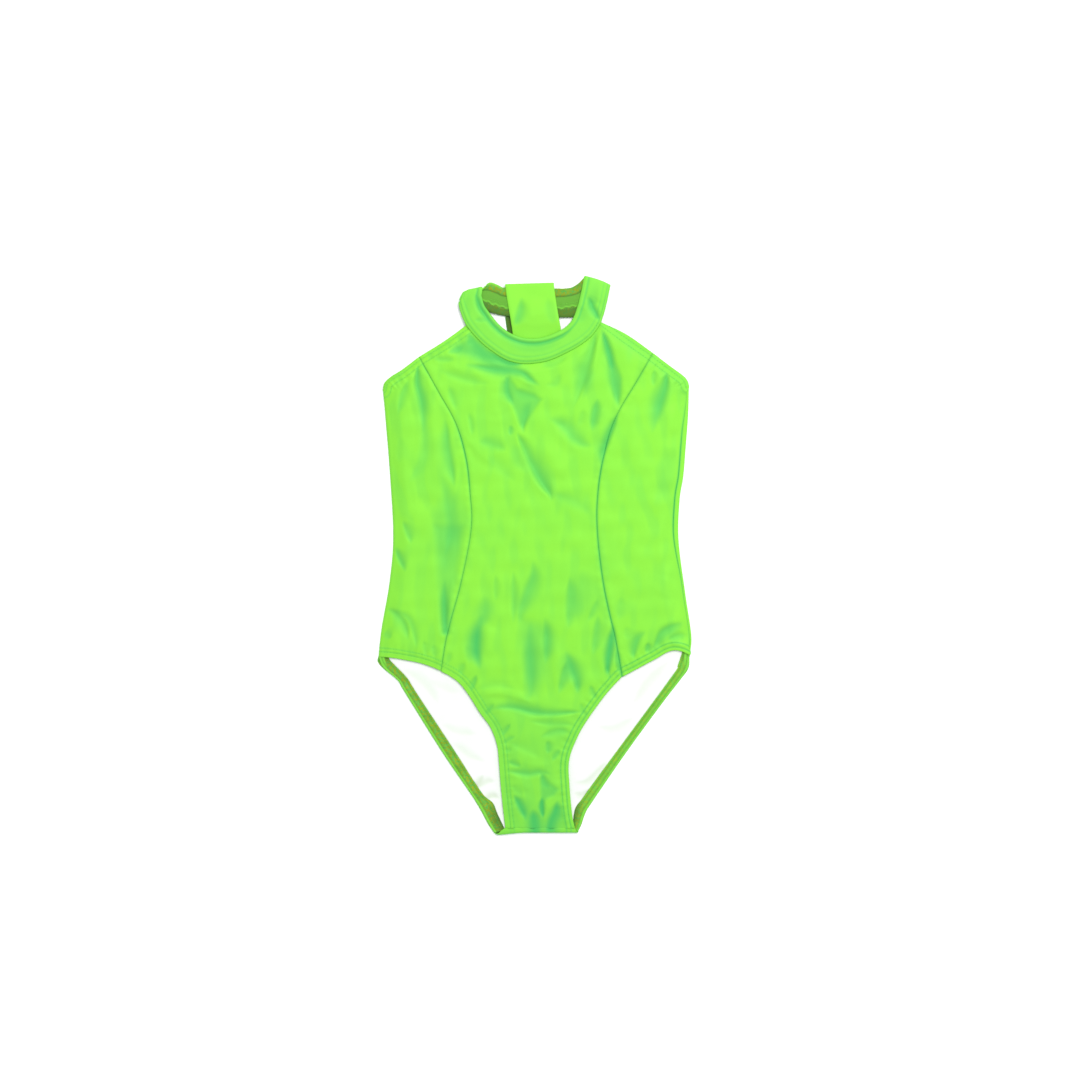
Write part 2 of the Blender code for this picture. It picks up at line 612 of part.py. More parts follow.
def back_strap():
    """The doubled strap: up the outside, over the neckband, and down the inside."""
    x, y, radius = STRAP_FOLD["x"], STRAP_FOLD["y"], STRAP_FOLD_RADIUS
    turns = np.linspace(-math.pi / 2, math.pi / 2, FOLD_STEPS + 1)
    path = [(row["x"], row["y"], row["z"]) for row in STRAP_OUTSIDE]
    path += [(x, y + radius * math.cos(t), radius + radius * math.sin(t)) for t in turns]
    path += [(row["x"], row["y"], row["z"]) for row in STRAP_INSIDE]
    sides = np.linspace(-STRAP_HALF_WIDTH, STRAP_HALF_WIDTH, STRAP_COLUMNS)
    return np.array([[(x + side, y, z) for side in sides] for x, y, z in path])


def main():
    for old in list(bpy.data.objects):
        bpy.data.objects.remove(old)
    collection = bpy.data.collections.new("Leotard")
    bpy.context.scene.collection.children.link(collection)

    shiny = material("Lime stretch cloth", (0.28, 0.93, 0.08), 0.42, 0.3)
    inside = material("Inside of the stretch cloth", (0.20, 0.50, 0.04), 0.7, 0.2)
    white = material("White lining", (0.93, 0.95, 0.92), 0.8, 0.1)

    cloth("front_centre", front_centre(), WALL, shiny, collection)
    cloth("front_side_left", front_side_left(), WALL, shiny, collection)
    cloth("front_side_right", front_side_right(), WALL, shiny, collection)
    cloth("back_panel", back_panel(), WALL, shiny, collection, faces_down=True)
    cloth("back_lining", lining(), LINING_WALL, white, collection)
    left = (smooth_line(line, HEM_ROWS)[::-1] for line in (HEM_LEFT_OUTER, HEM_LEFT_INNER))
    right = (smooth_line(line, HEM_ROWS)[::-1] for line in (HEM_RIGHT_INNER, HEM_RIGHT_OUTER))
    cloth("back_leg_hem_left", strip(*left, HEM_COLUMNS, HEM_TOP), WALL, inside, collection)
    cloth("back_leg_hem_right", strip(*right, HEM_COLUMNS, HEM_TOP), WALL, inside, collection)
    cloth("neckband_front", neckband_front(), NECKBAND_WALL, shiny, collection)
    cloth("neckband_back", neckband_back(), NECKBAND_WALL, inside, collection, faces_down=True)
    cloth("back_strap", back_strap(), WALL, shiny, collection, faces_down=True)


main()
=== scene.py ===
"""A child's high-necked leotard laid flat on its back, dressed over its packed cloth solids.

Every table and size is in millimetres, in the part's frame: the origin is on the flat underside
of the back, +X is to the right seen from above, +Y runs to the neck and +Z is up from the
surface that the garment lies on. MM turns them into metres when a mesh is made.
"""

import logging
import math
from collections.abc import Sequence
from dataclasses import dataclass, field
from enum import Enum

import bpy
import numpy as np
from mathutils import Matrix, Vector
from mathutils.bvhtree import BVHTree


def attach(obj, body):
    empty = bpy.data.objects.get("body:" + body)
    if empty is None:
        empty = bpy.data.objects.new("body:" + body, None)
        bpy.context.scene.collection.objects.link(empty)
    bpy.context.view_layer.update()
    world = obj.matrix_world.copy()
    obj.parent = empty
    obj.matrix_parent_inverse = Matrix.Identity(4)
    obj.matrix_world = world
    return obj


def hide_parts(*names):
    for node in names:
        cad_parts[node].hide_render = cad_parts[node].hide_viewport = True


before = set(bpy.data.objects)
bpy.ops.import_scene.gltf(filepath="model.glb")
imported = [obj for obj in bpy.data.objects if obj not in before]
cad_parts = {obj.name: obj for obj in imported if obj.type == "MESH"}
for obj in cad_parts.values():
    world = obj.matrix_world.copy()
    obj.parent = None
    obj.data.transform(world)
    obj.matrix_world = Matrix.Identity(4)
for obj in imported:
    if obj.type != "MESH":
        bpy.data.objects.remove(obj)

log = logging.getLogger("leotard")

MM = 0.001
BODY = "root"

Array = np.ndarray
Point = tuple[float, float]
Line = tuple[Point, ...]
Colour = tuple[float, float, float]
Socket = bpy.types.NodeSocket


# --- Choices among named options


class Slot(Enum):
    """The record's material slots."""

    OUTSIDE = "lime_cloth"
    INSIDE = "cloth_inside"
    LINING = "white_lining"


class Side(Enum):
    """The two sides of the garment, seen from above."""

    LEFT = "left"
    RIGHT = "right"


class Facing(Enum):
    """Which way the outer face of a piece's net looks, set against its rows and columns."""

    UP = 1
    DOWN = -1


class Seam(Enum):
    """The ways in which a row of stitches is sewn."""

    STRAIGHT = 0.0
    ZIGZAG = 38.0


# --- Curves and nets of points


def through(*numbers: float) -> Line:
    """A line's points from numbers given as x, y, x, y and so on."""
    return tuple(zip(numbers[::2], numbers[1::2]))


def shares_of(count: int | Array) -> Array:
    """Even shares from 0 to 1 for a count, or the given shares as they are."""
    return np.linspace(0, 1, count) if isinstance(count, int) else np.asarray(count, float)


def travelled(line: Array) -> Array:
    """How far along a line each of its points lies."""
    return np.concatenate([[0], np.cumsum(np.linalg.norm(np.diff(line, axis=0), axis=1))])


def smooth_line(points: Sequence[Sequence[float]], count: int | Array) -> Array:
    """Points along a smooth curve through the given points.

    Args:
        points: the points that the curve runs through, of any dimension.
        count: how many evenly spaced points to give, or their shares of the length.

    Returns:
        The points, one a row.
    """
    knots = np.array(points, float)
    padded = np.vstack([2 * knots[0] - knots[1], knots, 2 * knots[-1] - knots[-2]])
    share = np.linspace(0, 1, 12, endpoint=False)[:, None]
    dense = []
    for before, start, end, after in zip(padded, padded[1:], padded[2:], padded[3:]):
        bend = 2 * before - 5 * start + 4 * end - after
        twist = 3 * start - before - 3 * end + after
        curve = 2 * start + (end - before) * share + bend * share**2 + twist * share**3
        dense.append(curve / 2)
    dense = np.vstack(dense + [knots[-1:]])
    along = travelled(dense)
    wanted = shares_of(count) * along[-1]
    return np.stack([np.interp(wanted, along, column) for column in dense.T], axis=1)


def graded(count: int, start: float, end: float, reach: float = 0.06) -> Array:
    """Shares from 0 to 1 that lie closer together near the ends.

    Args:
        count: how many shares to give.
        start: how much denser they are at 0.
        end: how much denser they are at 1.
        reach: how far the denser ends reach, as a share.

    Returns:
        The shares, rising from 0 to 1.
    """
    place = np.linspace(0, 1, 2001)
    dense = 1 + start * np.exp(-place / reach) + end * np.exp(-(1 - place) / reach)
    total = np.concatenate([[0], np.cumsum((dense[1:] + dense[:-1]) / 2)])
    return np.interp(np.linspace(0, 1, count), total / total[-1], place)


def beside(line: Array, distance: float) -> Array:
    """The line moved sideways by a distance, to the right of the way that it runs."""
    heading = np.gradient(line, axis=0)
    heading = heading / np.linalg.norm(heading, axis=1)[:, None]
    return line + np.stack([heading[:, 1], -heading[:, 0]], axis=1) * distance


def joined(*lines: Array) -> Array:
    """Several lines end to end as one, each shared corner kept once."""
    return np.vstack([lines[0], *(line[1:] for line in lines[1:])])


def patch(bottom: Array, top: Array, left: Array, right: Array, u: Array, v: Array) -> Array:
    """A net of points (rows, columns, 2) between four edge lines that share their corners.

    Args:
        bottom: the first row's points.
        top: the last row's points.
        left: the first column's points.
        right: the last column's points.
        u: each column's share of the way across.
        v: each row's share of the way up.

    Returns:
        The net.
    """
    u, v = u[None, :, None], v[:, None, None]
    ruled = (1 - u) * left[:, None] + u * right[:, None]
    lofted = (1 - v) * bottom[None] + v * top[None]
    corners = (1 - v) * ((1 - u) * bottom[0] + u * bottom[-1])
    corners = corners + v * ((1 - u) * top[0] + u * top[-1])
    return ruled + lofted - corners


def evened(net: Array, rounds: int = 60, reach: int = 14) -> Array:
    """A net whose inner points no longer crowd together, with its edges as they were.

    Args:
        net: the points (rows, columns, 2).
        rounds: how many times each inner point moves to the middle of its neighbours.
        reach: how many columns from an edge the points move less.

    Returns:
        The net.
    """
    net = net.copy()
    rows, columns = (np.minimum(np.arange(n), np.arange(n)[::-1])[1:-1] for n in net.shape[:2])
    free = ease(rows / 4)[:, None, None] * ease(columns / reach)[None, :, None]
    for _ in range(rounds):
        middle = (net[1:-1, 2:] + net[1:-1, :-2] + net[2:, 1:-1] + net[:-2, 1:-1]) / 4
        net[1:-1, 1:-1] += free * (middle - net[1:-1, 1:-1])
    return net


def ease(share: Array | float) -> Array:
    """A smooth step from 0 to 1."""
    share = np.clip(share, 0, 1)
    return share * share * (3 - 2 * share)


def ease_between(value: Array | float, span: Point) -> Array:
    """A smooth step from 0 at the span's first value to 1 at its second."""
    return ease((value - span[0]) / (span[1] - span[0]))


def bump(distance: Array, width: float | Array) -> Array:
    """A soft hump, 1 at no distance and fading over the width."""
    return np.exp(-((distance / width) ** 2))


def nearest(line: Array, x: Array, y: Array) -> tuple[Array, Array, Array]:
    """Where each point lies beside a line.

    Args:
        line: the line's points (x, y).
        x: the points' x.
        y: the points' y.

    Returns:
        The distances, the shares of the way along, and 1 on the line's left or -1 on its right.
    """
    place = np.stack([x, y], axis=-1)[..., None, :]
    start, step = line[:-1], np.diff(line, axis=0)
    share = np.clip(((place - start) * step).sum(-1) / (step * step).sum(-1), 0, 1)
    off = place - start - share[..., None] * step
    gap = np.hypot(off[..., 0], off[..., 1])
    best = gap.argmin(-1)[..., None]
    turn = step[:, 0] * off[..., 1] - step[:, 1] * off[..., 0]
    gap, share, turn = (np.take_along_axis(a, best, -1)[..., 0] for a in (gap, share, turn))
    return gap, (best[..., 0] + share) / len(step), np.where(turn >= 0, 1.0, -1.0)


def distance_to(line: Array, x: Array, y: Array) -> Array:
    """How far each point (x, y) is from a line of points."""
    return nearest(line, x, y)[0]


def edge_x(line: Array, y: Array) -> Array:
    """Where a line that runs upwards stands at height y."""
    return np.interp(y, line[:, 1], line[:, 0])


def fold_over(distance: Array, radius: float) -> tuple[Array, Array]:
    """How far inside a folded edge a cloth point lies, and its height.

    Args:
        distance: the way along the cloth from the fold's outermost point, positive on the
            lower layer and negative on the upper one.
        radius: the fold's radius.

    Returns:
        The insets and the heights.
    """
    quarter = math.pi * radius / 2
    turn = np.clip(distance / radius, -math.pi / 2, math.pi / 2)
    straight = np.maximum(np.abs(distance) - quarter, 0)
    return radius * (1 - np.cos(turn)) + straight, radius * (1 - np.sin(turn))


def on_cloth_area(net: Array) -> float:
    """The area in square metres of a net's own faces, folds and all."""
    across, up = np.diff(net, axis=1)[:-1], np.diff(net, axis=0)[:, :-1]
    return float(np.linalg.norm(np.cross(across, up), axis=-1).sum()) * MM * MM


# --- The garment's lines


@dataclass(frozen=True)
class Layers:
    """Heights of the layers above the surface, and how thick each cloth is."""

    wall: float = 0.7
    hem_extra: float = 0.5
    lining_wall: float = 0.5
    band_wall: float = 1.8
    lining_top: float = 2.35
    hem_top: float = 2.7
    side_low: float = 0.8
    armhole_edge: float = 2.5
    leg_edge: float = 4.2
    collar_edge: float = 3.85
    crotch_edge: float = 4.2
    crown: float = 5.5
    least: float = 3.55
    least_open: float = 2.5


@dataclass(frozen=True)
class Outline:
    """The edges of the panels as they lie, each from the bottom up."""

    side_left: Line = through(-157.4, -100.5, -154.2, -72, -146.3, -26, -142.6, 20, -146, 84,
        -150.6, 141, -153.1, 166)
    side_right: Line = through(153.4, -99, 155.3, -80, 149.3, -38, 142.5, 16, 143.6, 56,
        147.3, 80, 149.6, 108, 152, 140, 152.9, 169.8)
    armhole_left: Line = through(-153.1, 166, -151, 173.5, -143.6, 180, -134, 186, -117, 198.8)
    armhole_left_top: Line = through(-117, 198.8, -91, 215, -69.4, 229.8)
    armhole_right: Line = through(152.9, 169.8, 151.7, 174.2, 149, 178.2, 144, 182.4, 134, 189.6,
        117, 202.6)
    armhole_right_top: Line = through(117, 202.6, 90, 221.5, 66, 239.5)
    princess_left: Line = through(-95, -114.5, -88.5, -77, -75, -27, -64.8, 27, -66, 64, -70, 98,
        -80, 132, -97, 163, -117, 198.8)
    princess_right: Line = through(86, -120.5, 79, -82, 67.5, -29, 61, 28, 62.5, 70, 70, 110,
        81, 141, 101, 175, 117, 202.6)
    leg_left: Line = through(-95, -115, -104, -110.7, -116, -106.8, -130, -103.9, -144, -101.6,
        -157.4, -100.5)
    leg_left_crotch: Line = through(-30.5, -271.3, -33, -250, -35.2, -228, -36.9, -206,
        -38.8, -189, -45.2, -171.5, -56, -156.5, -66.3, -140, -75.8, -127.6, -85, -120.4,
        -95, -115)
    leg_right: Line = through(86, -120.3, 98, -114.2, 110, -107.6, 121, -101.8, 130, -96.4,
        138, -94.1, 146, -95.4, 153.4, -99)
    leg_right_crotch: Line = through(38.5, -271, 36.2, -260, 34.6, -246, 33.2, -228, 32.4, -210,
        34.6, -197, 39.6, -184.5, 45.8, -172, 56.2, -156.2, 67.8, -140.4, 77, -129.6, 86, -120.3)
    back_leg_left: Line = through(-43, -274.4, -47.8, -268, -61.2, -244, -93.8, -196,
        -131.3, -136, -138.6, -124, -153, -112, -158.3, -105, -157.4, -100.5)
    back_leg_right: Line = through(42.5, -274.4, 45.5, -268, 49.8, -256, 57.4, -244, 90.4, -196,
        125.5, -148, 144, -124, 152.4, -112, 153.4, -99)
    back_top: Line = through(-151.2, 157, -110, 144, -62, 133.5, -26, 130.8, 26, 130.8, 62, 133.5,
        110, 146, 152.2, 168)
    hem_left_outer: Line = through(-157.2, -99.4, -156.6, -103.6, -152.4, -112.1, -138.1, -124.5,
        -130.8, -136.5, -93.4, -196.4, -60.8, -244.4, -47.8, -267.4, -42.2, -276.4)
    hem_left_inner: Line = through(-147.6, -99.4, -146.4, -103.6, -141, -109.5, -129, -122,
        -119.5, -137, -80.5, -196.5, -54.5, -236.5, -43.6, -246.5, -38.6, -258, -31, -273.6)
    hem_right_outer: Line = through(153.5, -96.8, 153.2, -101.2, 152, -112, 143.6, -124.6,
        125.1, -148.4, 90.1, -196.4, 57, -244.5, 49.3, -256.6, 45.1, -268, 41.5, -275.6)
    hem_right_inner: Line = through(147, -93, 145.6, -98.4, 141.5, -110, 135.7, -120.7,
        71.4, -208, 54.5, -231, 46, -243, 39, -253.5, 36.5, -273)
    band_seam: Line = through(-77.3, 253, -75, 244, -69.2, 230.6, -56.6, 215.6, -42.8, 204.2,
        -29, 196, -15, 192.6, 0, 193, 14.6, 196.3, 30.7, 203.5, 44.4, 211.2, 55.9, 220.5,
        63.4, 231, 66.2, 238.6, 68, 244, 71, 256)
    band_neck: Line = through(-54.8, 260, -52.2, 250.4, -47, 242.8, -38.4, 231.9, -29.2, 224.2,
        -20, 219.6, -10, 217, 1, 216.9, 11, 219.2, 20, 222.8, 28.5, 227.4, 35, 233.7, 38.8, 240.5,
        40.9, 246.8, 42.6, 252, 45.6, 264.5)
    back_band_seam: Line = through(69, 256, 58, 245, 41, 239.5, 23, 238.6, -4, 239, -31, 240.3,
        -43, 243, -56, 247.5)
    back_band_neck: Line = through(43, 272, 36, 267.8, 28, 266.6, 19, 266.7, -6, 267, -31, 267.3,
        -38.5, 270.4, -46.5, 272.6)
    crotch_seam_y: float = -271.3

    def leg_edge(self, side: Side, count: int = 60) -> Array:
        """The front's whole leg edge on one side, from the crotch seam to the side seam."""
        if side is Side.LEFT:
            return smooth_line(self.leg_left_crotch + self.leg_left[1:], count)
        return smooth_line(self.leg_right_crotch + self.leg_right[1:], count)

    def armhole_edge(self, side: Side, count: int = 40) -> Array:
        """The front's whole armhole edge on one side, from the side seam to the neckband."""
        if side is Side.LEFT:
            return smooth_line(self.armhole_left + self.armhole_left_top[1:], count)
        return smooth_line(self.armhole_right + self.armhole_right_top[1:], count)

    def princess(self, side: Side, count: int | Array = 60) -> Array:
        """One of the front's two long seams."""
        knots = self.princess_left if side is Side.LEFT else self.princess_right
        return smooth_line(knots, count)

    def collar(self, tuck: float, count: int | Array = 60) -> Array:
        """The front's edge under the neckband, moved up under the band by the tuck."""
        line = beside(smooth_line(self.band_seam[2:14], 240), -tuck)
        return smooth_line(line[::8], count)


# --- Creases, listed one by one


@dataclass(frozen=True)
class Crease:
    """One soft sunken crease, or ridge where its height is above 0, with painted shade along it.

    Attributes:
        path: the points that its bottom or its crest runs through.
        width: how far it reaches on each side, where it is widest.
        height: how high it stands, below 0 where it is sunk.
        shade: how far its painted shade darkens the cloth's colour, from 0 to 1.
        lean: above 0 it is wider on the left of its path, and below 0 on the right.
        fade: the shares of its length over which it grows and dies away.
        open_end: an end that fades over no more than this share stays wide.
    """

    path: Line
    width: float
    height: float
    shade: float = 0.0
    lean: float = 0.3
    fade: Point = (0.3, 0.3)
    open_end: float = 0.11

    def add_to(self, total: Array, shades: Array, x: Array, y: Array) -> None:
        """Adds this crease's height and shade to those at the points (x, y)."""
        knots = np.array(self.path)
        reach = 3.4 * self.width
        near = (x > knots[:, 0].min() - reach) & (x < knots[:, 0].max() + reach)
        near &= (y > knots[:, 1].min() - reach) & (y < knots[:, 1].max() + reach)
        if not near.any():
            return
        line = smooth_line(self.path, 18)
        off, along, hand = nearest(line, x[near], y[near])
        ends = [share if fade > self.open_end else 1.0
                for share, fade in zip((2 * along, 2 * (1 - along)), self.fade)]
        narrow = 0.14 + 0.86 * np.sin(math.pi / 2 * np.clip(np.minimum(*ends), 0, 1)) ** 0.9
        width = self.width * narrow * (1 + self.lean * hand)
        fade = ease(along / self.fade[0]) * ease((1 - along) / self.fade[1])
        flank = 0.10 * bump(off - 2.6 * width, 1.4 * width)
        total[near] += self.height * fade * (bump(off, 1.4 * width) - flank)
        # The crease's painted shade: a flat core with steep sides, and a narrower dark middle.
        spread = 0.84 * np.minimum(1.3 * bump(off, 1.55 * width), 1)
        spread += 0.30 * bump(off, 0.6 * width)
        shades[near] = darker(shades[near], self.shade * np.sqrt(fade) * spread)


@dataclass(frozen=True)
class Hollow:
    """One facet that lies lower than the cloth round it, darkened with painted shade.

    Attributes:
        corners: the corners of its border.
        height: how high it stands, below 0.
        shade: how far its painted shade darkens the cloth's colour, from 0 to 1.
        soft: how far its border is blurred.
    """

    corners: Line
    height: float
    shade: float
    soft: float = 3.0

    def add_to(self, total: Array, shades: Array, x: Array, y: Array) -> None:
        """Adds this hollow's height and shade to those at the points (x, y)."""
        knots = np.array(self.corners)
        near = (x > knots[:, 0].min() - 2 * self.soft) & (x < knots[:, 0].max() + 2 * self.soft)
        near &= (y > knots[:, 1].min() - 2 * self.soft) & (y < knots[:, 1].max() + 2 * self.soft)
        if not near.any():
            return
        ring = np.vstack([knots, knots[:1]])
        off, *_ = nearest(ring, x[near], y[near])
        inside = np.zeros(off.shape, dtype=bool)
        for (x0, y0), (x1, y1) in zip(ring, ring[1:]):
            if y0 != y1:
                crossed = (y0 > y[near]) != (y1 > y[near])
                inside ^= crossed & (x[near] < (x1 - x0) * (y[near] - y0) / (y1 - y0) + x0)
        depth = ease(np.where(inside, off, -off) / (2 * self.soft) + 0.5)
        total[near] += self.height * depth
        shades[near] = darker(shades[near], self.shade * depth)


def creases(*rows: Hollow | tuple) -> tuple[Crease | Hollow, ...]:
    """Creases from a table's rows, with hollows among them.

    Args:
        rows: hollows as they are, and for each crease its path as x, y, x, y and so on, then
            its width, height, shade, lean and two shares of fade, as far as it states them.

    Returns:
        The creases and the hollows, in the table's order.
    """
    return tuple(row if isinstance(row, Hollow) else
                 Crease(through(*row[0]), *row[1:5], fade=row[5:] or Crease.fade)
                 for row in rows)


# In every crease table the shade darkens the cloth's colour as painted shade.
UPPER_CREASES = creases(
    # Under the left of the neckband
    ((-67, 222, -61, 212, -54, 204, -46, 198.5, -37, 194, -26, 191.5, -12, 191), 5.2, -1.3, 0.62,
      -0.2, 0.25, 0.25),
    ((-50, 205, -41, 199, -33, 194.6, -25, 191.8, -12, 191.2), 1.8, -0.5, 0.7),
    ((-86, 206, -70, 204, -56, 198, -42, 191), 6.5, -0.7, 0.36),
    ((-89, 203.5, -80, 204.5, -72, 209), 2, -0.5, 0.32),
    ((-69, 222, -66, 216, -69, 210), 2, -0.5, 0.36),
    ((-104, 197, -92, 196, -80, 195.5), 2.2, -0.6, 0.3),
    ((-72, 191.4, -55, 188.6, -37, 185.8, -21, 184.8, -12.5, 182.4, -5.5, 176.5, 5, 169.5), 3.3,
      -1.5, 0.72, -0.15, 0.3, 0.2),
    ((-24, 179, -12, 176, -3, 168), 3.6, 0.5),
    ((-98, 186, -80, 179, -62, 174, -46, 172), 3, -0.5, 0.2),
    ((-90, 192, -72, 184, -52, 179), 4, 0.5),
    Hollow(through(-66, 223, -57, 213, -47, 204, -37, 196.5, -28, 193, -42, 194.5, -60, 199.5,
      -74, 203, -86, 203.5, -82, 210, -72, 214), -0.5, 0.42, 3.6),
    # The shaded facet in the middle of the chest
    Hollow(through(-30.3, 177.5, -26.8, 179.5, -24, 175, -18.4, 167, -1.6, 161.4, 5.5, 156.4,
      -0.2, 148.4, -7.9, 137.2, -12.8, 124.8, -15.6, 130.2, -19.1, 140, -25.4, 154, -31, 162.4),
      -0.9, 0.48, 2.7),
    ((-27.5, 180, -29.5, 170, -27.5, 161, -22, 150), 3, -0.7, 0.55, -0.3),
    ((-22, 164, -10, 161, 2, 158), 4.6, -0.3, 0.22),
    ((-4, 156, -9.5, 143, -13.5, 126), 3, -0.7, 0.44, -0.4, 0.5, 0.2),
    ((-44, 164, -38, 138), 9, 0.5),
    ((-25.5, 131, -26.2, 120), 1.8, -0.5, 0.42),
    ((-19.5, 123.5, -13, 110, -6.5, 97, 1, 82, 8, 70, 14, 61, 15, 54), 3.9, -1.5, 0.44, 0.35,
      0.14, 0.14),
    ((-9, 100, 0, 83, 8, 70, 15, 60), 4.4, -0.7, 0.36, 0.3, 0.5, 0.2),
    ((-24, 112, -17, 96, -8, 82), 5.5, -0.4, 0.22),
    ((15, 62, 30, 58, 44, 51, 57, 41), 4.4, -0.6, 0.24, 0, 0.3, 0.5),
    ((2, 122, 16, 98, 32, 74), 10, 1),
    ((12, 138, 27, 130, 37, 118.5, 47, 111.5, 57, 110), 4.6, -1, 0.44, 0.3),
    ((16, 126, 30, 116, 44, 102), 7, 0.5),
    ((4, 189, 18, 192, 32, 200), 3, -0.4, 0.18),
    ((9, 171, 20, 171.5, 25, 183), 2.4, -0.4, 0.16),
    # The fan from the right of the neckband
    ((60.5, 224, 55.7, 203, 50.7, 184, 44.5, 167, 37.2, 147), 4.2, -1.7, 0.4, -0.45, 0.15, 0.35),
    ((43, 196, 44, 182, 40, 164), 5.5, -0.3, 0.16),
    ((62.5, 220, 59.5, 200, 55, 178, 47, 154), 3.8, 1.1, 0, 0, 0.2, 0.35),
    ((65.8, 227, 70, 212, 73.8, 197, 76.4, 184), 2.5, -1.7, 0.88, 0, 0.25, 0.2),
    Hollow(through(70, 214, 72.5, 200, 74, 186, 74.5, 172, 78, 159, 82.5, 149, 84.8, 162,
      85.5, 177, 79.5, 193, 75, 206), -1.1, 0.52, 2.4),
    ((72.5, 202, 76, 184, 79.5, 168, 82, 150), 3.4, -0.9, 0.4, -0.2, 0.25, 0.3),
    ((57, 190, 51, 172, 46, 156), 2.6, -0.4, 0.26),
    ((84, 214, 91, 192, 96, 170), 7, 0.6),
    ((61.5, 158, 57.3, 139, 55.7, 124), 3.2, -1.1, 0.56, 0.3),
    ((66, 150, 62, 130), 3, 0.4),
    ((47, 147, 45, 138, 42, 130), 2.6, -0.5, 0.15),
    ((82.5, 143, 76, 128, 70, 114, 66, 102, 64.4, 90), 3, -1.4, 0.7, -0.3, 0.3, 0.3),
    # The left of the chest, and beside the left seam
    ((-58, 114.5, -44, 112, -29, 105.5), 4.2, -0.9, 0.32, 0.2),
    ((-72, 120, -56, 103, -36, 86), 4, 0.6),
    ((-50, 100, -36, 88, -20, 74), 4.6, -0.4, 0.14),
    ((-88, 171, -84, 158, -79.5, 145), 2.3, -0.6, 0.28),
    ((-67.5, 144, -65, 132, -63.5, 120), 2, -0.6, 0.26),
    # The left side panel
    ((-118, 191, -119, 174, -115, 158, -113, 144, -112.5, 122), 3.4, -1.5, 0.66, 0.25, 0.12, 0.5),
    ((-113, 142, -111.5, 112, -116, 92, -127, 73), 4.2, -0.6, 0.24),
    ((-107, 184, -104, 152, -103, 120), 5, 0.5),
    ((-126.5, 177, -134, 160, -138, 140), 2.7, -0.8, 0.34),
    ((-91, 138, -89.3, 127, -88.5, 110, -84.3, 88, -81, 68), 3.8, -1.2, 0.5, -0.3, 0.3, 0.25),
    ((-101, 122, -98, 92, -95, 64), 6, 0.4),
    ((-94, 80, -88, 52, -84.5, 30, -87, 14, -91, 0), 5.4, -1.2, 0.42, 0.3, 0.4, 0.3),
    ((-97, 60, -93, 22, -88, -18), 9, -0.5, 0.2),
    ((-133.5, 36, -129, 25, -124.5, 12), 2.5, -0.8, 0.4),
    ((-136, 120, -137, 92), 3, -0.4, 0.12),
    ((-120, 60, -118, 20), 9, 0.4),
    # Small puckers along the left armhole
    ((-110, 205, -104, 196), 1.9, -0.6, 0.2),
    ((-101, 210, -95, 201), 1.8, -0.5, 0.16),
    ((-92, 216, -85, 207), 1.9, -0.6, 0.2),
    ((-80, 221, -75, 214), 1.8, -0.5, 0.16),
    # The right side panel
    ((130.5, 184, 129.5, 170, 125, 155, 120, 139, 115.5, 122), 4.6, -1.5, 0.7, -0.25, 0.12, 0.5),
    ((118.5, 187, 117, 178, 117, 169), 2.1, -0.7, 0.34),
    ((128, 114, 130, 88, 124, 64, 118, 48), 6, -0.6, 0.2),
    ((139, 156, 137, 118), 5, 0.4),
    ((106, 148, 97, 118, 92, 84), 9, 0.5),
)

